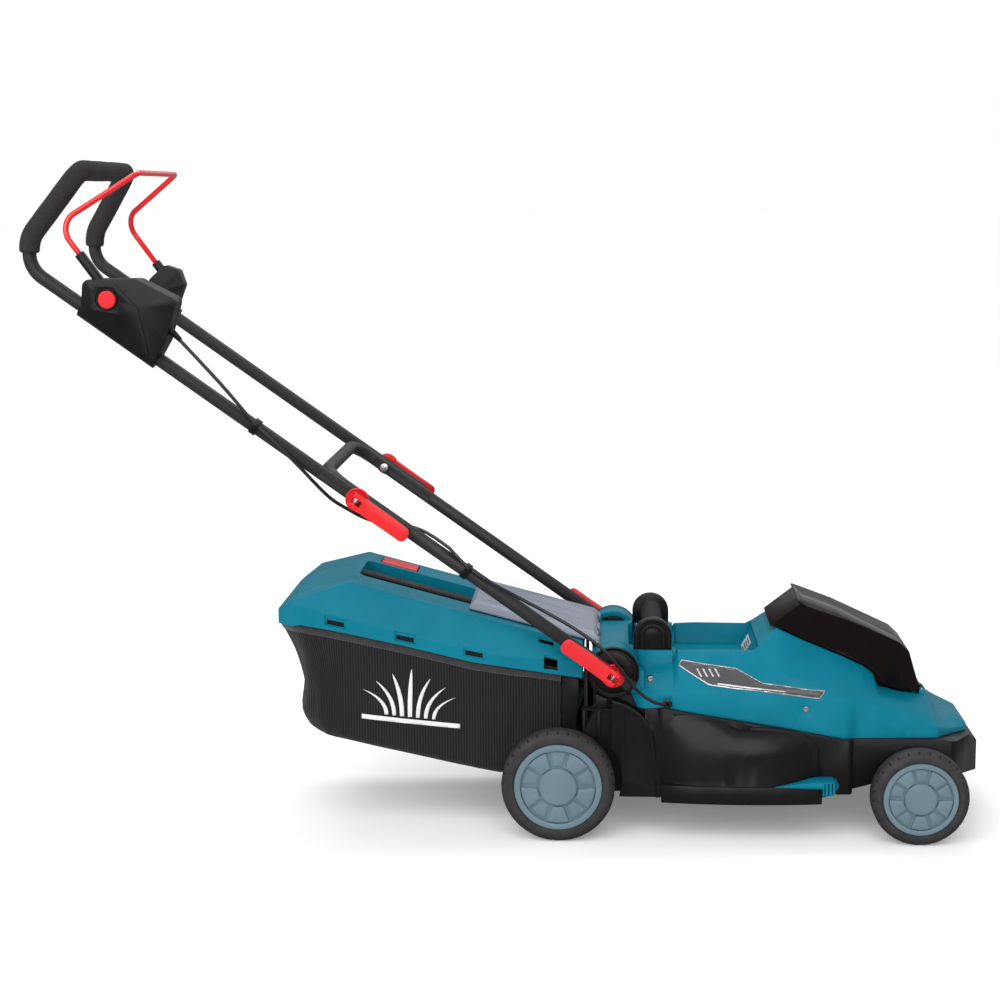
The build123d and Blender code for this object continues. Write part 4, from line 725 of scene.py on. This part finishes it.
def cable_piece(name, points, finish):
    """One length of cable as a mesh round a smooth spline through its route."""
    data = bpy.data.curves.new(name + "_line", "CURVE")
    data.dimensions = "3D"
    spline = data.splines.new("NURBS")
    spline.points.add(len(points) - 1)
    for point, place in zip(spline.points, points):
        point.co = (*at(*place), 1.0)
    spline.order_u = 3
    spline.use_endpoint_u = True
    data.resolution_u = 8
    data.bevel_depth = CABLE_RADIUS
    data.bevel_resolution = 5
    data.use_fill_caps = True
    line = bpy.data.objects.new(name + "_line", data)
    bpy.context.scene.collection.objects.link(line)
    bpy.context.view_layer.update()
    mesh = bpy.data.meshes.new_from_object(line.evaluated_get(bpy.context.evaluated_depsgraph_get()))
    bpy.data.objects.remove(line)
    mesh.polygons.foreach_set("use_smooth", [True] * len(mesh.polygons))
    mesh.materials.clear()
    mesh.materials.append(finish)
    obj = bpy.data.objects.new(name, mesh)
    bpy.context.scene.collection.objects.link(obj)
    return obj


def switch_cable(made):
    """The cable from the switch box down the handle to the deck, in two lengths that meet where the handle
    folds.
    """
    high = cable_piece("switch_cable_high", CABLE_HIGH, made["cable"])
    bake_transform(high)
    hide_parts("cable_upper")
    low = cable_piece("switch_cable_low", CABLE_LOW, made["cable"])
    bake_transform(low)
    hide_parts("cable_lower", "cable_deck")


# Labels ------------------------------------------------------------------------------------------------

PLATE, LIFT = 0.0004, 0.0006  # a label's thickness and how far its middle stands off the surface


def tree_of(mesh):
    """A ray-casting tree of one mesh."""
    bm = bmesh.new()
    bm.from_mesh(mesh)
    tree = BVHTree.FromBMesh(bm)
    bm.free()
    return tree


def inset_outline(points, amount):
    """An outline moved inwards by an amount."""
    count = len(points)
    moved = []
    area = sum(points[i][0] * points[(i + 1) % count][1] - points[(i + 1) % count][0] * points[i][1]
               for i in range(count))
    sign = 1 if area > 0 else -1
    for i in range(count):
        p, q, r = Vector(points[i - 1]), Vector(points[i]), Vector(points[(i + 1) % count])
        a, b = (q - p).normalized(), (r - q).normalized()
        na, nb = Vector((-a.y, a.x)) * sign, Vector((-b.y, b.x)) * sign
        bisector = (na + nb).normalized()
        moved.append(tuple(q + bisector * (amount / max(0.4, bisector.dot(na)))))
    return moved


def wrapped_plate(name, outline, place, finish, body, step=5.0):
    """A thin plate whose outline in two coordinates is laid on a surface by a function."""
    verts = [Vector(p) for p in outline]
    dense = []
    for a, b in zip(verts, verts[1:] + verts[:1]):
        count = max(1, round((b - a).length / step))
        dense += [a.lerp(b, k / count) for k in range(count)]
    edges = [(i, (i + 1) % len(dense)) for i in range(len(dense))]
    xs, ys = [p.x for p in dense], [p.y for p in dense]
    inner = []
    x = min(xs) + step / 2
    while x < max(xs):
        y = min(ys) + step / 2
        while y < max(ys):
            inner.append(Vector((x, y)))
            y += step
        x += step
    co, _, faces, *_ = geometry.delaunay_2d_cdt(dense + inner, edges, [], 1, 0.01)
    used = sorted({i for face in faces for i in face})
    number = {i: k for k, i in enumerate(used)}
    points = [place(co[i].x, co[i].y) for i in used]
    obj = new_mesh(name, points, [tuple(number[i] for i in face) for face in faces], finish, body)
    solid = obj.modifiers.new("plate", "SOLIDIFY")
    solid.thickness = PLATE
    solid.offset = 0
    return obj


SIDE_LABEL = [(180, 253), (185.5, 260), (266.5, 250.6), (305, 233), (398.5, 222), (389, 211.5), (301, 222.5),
              (225, 231)]


def side_labels(made):
    """The dark plate with a bright edge on each side of the cover, with plain slashes and a bar on it."""
    tree = tree_of(NODES["top_cover"].data)
    for side, sign in (("right", -1), ("left", 1)):
        def place(x, z, lift):
            hit, _, _, _ = tree.ray_cast(at(x, sign * 400, z), Vector((0, -sign, 0)))
            return hit + Vector((0, sign * 0.7, 0.7)) * lift

        border = wrapped_plate(f"label_border_{side}", SIDE_LABEL, lambda x, z: place(x, z, LIFT),
                               made["silver"], "root", 3.0)
        panel = wrapped_plate(f"label_panel_{side}", inset_outline(SIDE_LABEL, 1.3),
                              lambda x, z: place(x, z, 0.0015), made["plate"], "root", 3.0)
        marks = [[(206 + 9 * i, 250), (209.5 + 9 * i, 249.6), (216 + 9 * i, 240), (212.5 + 9 * i, 240.4)]
                 for i in range(4)]
        marks += [[(238, 233), (340, 222), (339, 220.5), (237, 231.5)]]
        for i, outline in enumerate(marks):
            mark = wrapped_plate(f"label_mark_{side}_{i}", outline, lambda x, z: place(x, z, 0.0021),
                                 made["silver"], "root", 3.0)


def rating_plate(made):
    """A blank rating plate on the slope in front of the hand recess, with plain grey rows."""
    tree = tree_of(NODES["top_cover"].data)

    def place(x, y, lift):
        hit, _, _, _ = tree.ray_cast(at(x, y, 420), Vector((0, 0, -1)))
        return hit + Vector((-0.6, 0, 0.8)) * lift

    outline = [(286.5, 2), (286.5, 62), (298, 62), (298, 2)]
    plate = wrapped_plate("rating_plate", outline, lambda x, y: place(x, y, LIFT),
                          made["sticker"], "root", 4.0)
    for i in range(4):
        x = 288 + 2.6 * i
        row = [(x, 6), (x, 40 + 5 * (i % 2)), (x + 1.1, 40 + 5 * (i % 2)), (x + 1.1, 6)]
        bar = wrapped_plate(f"rating_row_{i}", row, lambda x, y: place(x, y, 2 * LIFT),
                            made["plate"], "root", 4.0)


def leaf(x, z, length, lean, width):
    """The outline of one blade of grass that grows from a point and bends over."""
    left, right = [], []
    for i in range(9):
        t = i / 8
        cx = x + length * lean * t * t
        cz = z + length * t * (1 - 0.25 * abs(lean) * t)
        half = width * (1 - t) ** 0.7 * (0.6 + 0.8 * t) / 2 + 0.15
        left.append((cx - half, cz))
        right.append((cx + half, cz))
    return left + right[::-1]


def bag_print(made, bag):
    """A plain tuft of pale grass blades over a ground line, printed on each side of the bag."""
    bpy.context.view_layer.update()
    tree = tree_of(bag.data)
    blades = [(-262, 48, -0.75, 9), (-250, 60, -0.45, 9), (-238, 70, -0.2, 10), (-226, 76, 0.05, 10),
              (-214, 66, 0.3, 9), (-202, 56, 0.55, 9), (-190, 42, 0.8, 8)]
    for side, sign in (("right", -1), ("left", 1)):
        def place(x, z):
            hit, _, _, _ = tree.ray_cast(at(x, sign * 400, z), Vector((0, -sign, 0)))
            return hit + Vector((0, sign, 0)) * 0.0011

        shapes = [leaf(x, 176 - 0.1 * (x + 226), length, lean, width) for x, length, lean, width in blades]
        shapes.append([(-300, 180), (-300, 173), (-150, 158), (-150, 165)])
        for i, outline in enumerate(shapes):
            mark = wrapped_plate(f"bag_print_{side}_{i}", outline, place, made["print"], "catcher", 4.0)


# Stage -------------------------------------------------------------------------------------------------

def soft_light(name, place, target, size, power):
    """A soft box aimed at a point."""
    data = bpy.data.lights.new(name, "AREA")
    data.shape = "RECTANGLE"
    data.size, data.size_y = size
    data.energy = power
    obj = bpy.data.objects.new(name, data)
    bpy.context.scene.collection.objects.link(obj)
    obj.location = place
    obj.rotation_euler = (Vector(target) - Vector(place)).to_track_quat("-Z", "Y").to_euler()


def soft_sun(name, direction, strength, spread, gloss):
    """A wide, even light from far away, so that the floor is lit alike everywhere."""
    data = bpy.data.lights.new(name, "SUN")
    data.energy = strength
    data.specular_factor = gloss
    data.angle = math.radians(spread)
    obj = bpy.data.objects.new(name, data)
    bpy.context.scene.collection.objects.link(obj)
    obj.rotation_euler = Vector(direction).to_track_quat("-Z", "Y").to_euler()


def split_by_ray(tree, output, ray, usual, special):
    """Show one shader to a kind of ray, and the usual one to every other."""
    path = tree.nodes.new("ShaderNodeLightPath")
    mix = tree.nodes.new("ShaderNodeMixShader")
    tree.links.new(path.outputs[ray], mix.inputs[0])
    tree.links.new(usual.outputs[0], mix.inputs[1])
    tree.links.new(special.outputs[0], mix.inputs[2])
    tree.links.new(mix.outputs[0], tree.nodes[output].inputs["Surface"])


def floor_sheet():
    """The white floor, which looks darker in the mower's gloss so that black plastic stays black."""
    bpy.ops.mesh.primitive_plane_add(size=400, location=(0, 0, 0))
    floor = bpy.context.object
    floor.name = "floor"
    f = Finish("floor_paint", (0.93, 0.93, 0.935), 0.9)
    f.set("Specular IOR Level", 0.1)
    f.set("Emission Color", (1, 1, 1, 1))
    f.set("Emission Strength", 0.16)
    f.tint(f.ranged(f.noise(0.8, 2), 0.0, 1.0), 0.99, 1.01)
    floor.data.materials.append(f.mat)
    dull = f.tree.nodes.new("ShaderNodeBsdfDiffuse")
    dull.inputs["Color"].default_value = (0.2, 0.2, 0.2, 1)
    split_by_ray(f.tree, "Material Output", "Is Glossy Ray", f.bsdf, dull)


def surround():
    """A white sweep behind everything, which lights the mower only dimly."""
    world = bpy.data.worlds.new("surround")
    world.use_nodes = True
    tree = world.node_tree
    dim = tree.nodes["Background"]
    dim.inputs["Color"].default_value = (0.97, 0.98, 1.0, 1)
    dim.inputs["Strength"].default_value = 0.26
    sweep = tree.nodes.new("ShaderNodeBackground")
    sweep.inputs["Color"].default_value = (1, 1, 1, 1)
    sweep.inputs["Strength"].default_value = 1.0
    split_by_ray(tree, "World Output", "Is Camera Ray", dim, sweep)
    bpy.context.scene.world = world


def studio():
    """A plain white floor and sweep, an even key and fill, and soft boxes for the gloss."""
    floor_sheet()
    surround()
    soft_sun("key", (0.15, 0.8, -0.58), 2.5, 70, 0.35)
    soft_sun("fill", (-0.3, -0.45, -0.84), 0.75, 110, 0.12)
    soft_light("top_box", (-0.1, 0.9, 2.4), (0.05, 0, 0.3), (2.6, 0.9), 22)
    soft_light("rear_box", (-2.6, -1.2, 1.5), (-0.2, 0, 0.3), (0.7, 1.6), 12)
    bpy.context.scene.view_settings.view_transform = "Standard"


def main():
    """Everything, in the order in which it is made."""
    camera()
    made = finishes()
    dress_cad(made)
    bag = grass_bag(made)
    bag_print(made, bag)
    catcher_lid(made)
    hand_bar(made)
    level_flag(made)
    foam_grip(made)
    switch_cable(made)
    side_labels(made)
    rating_plate(made)
    studio()


main()
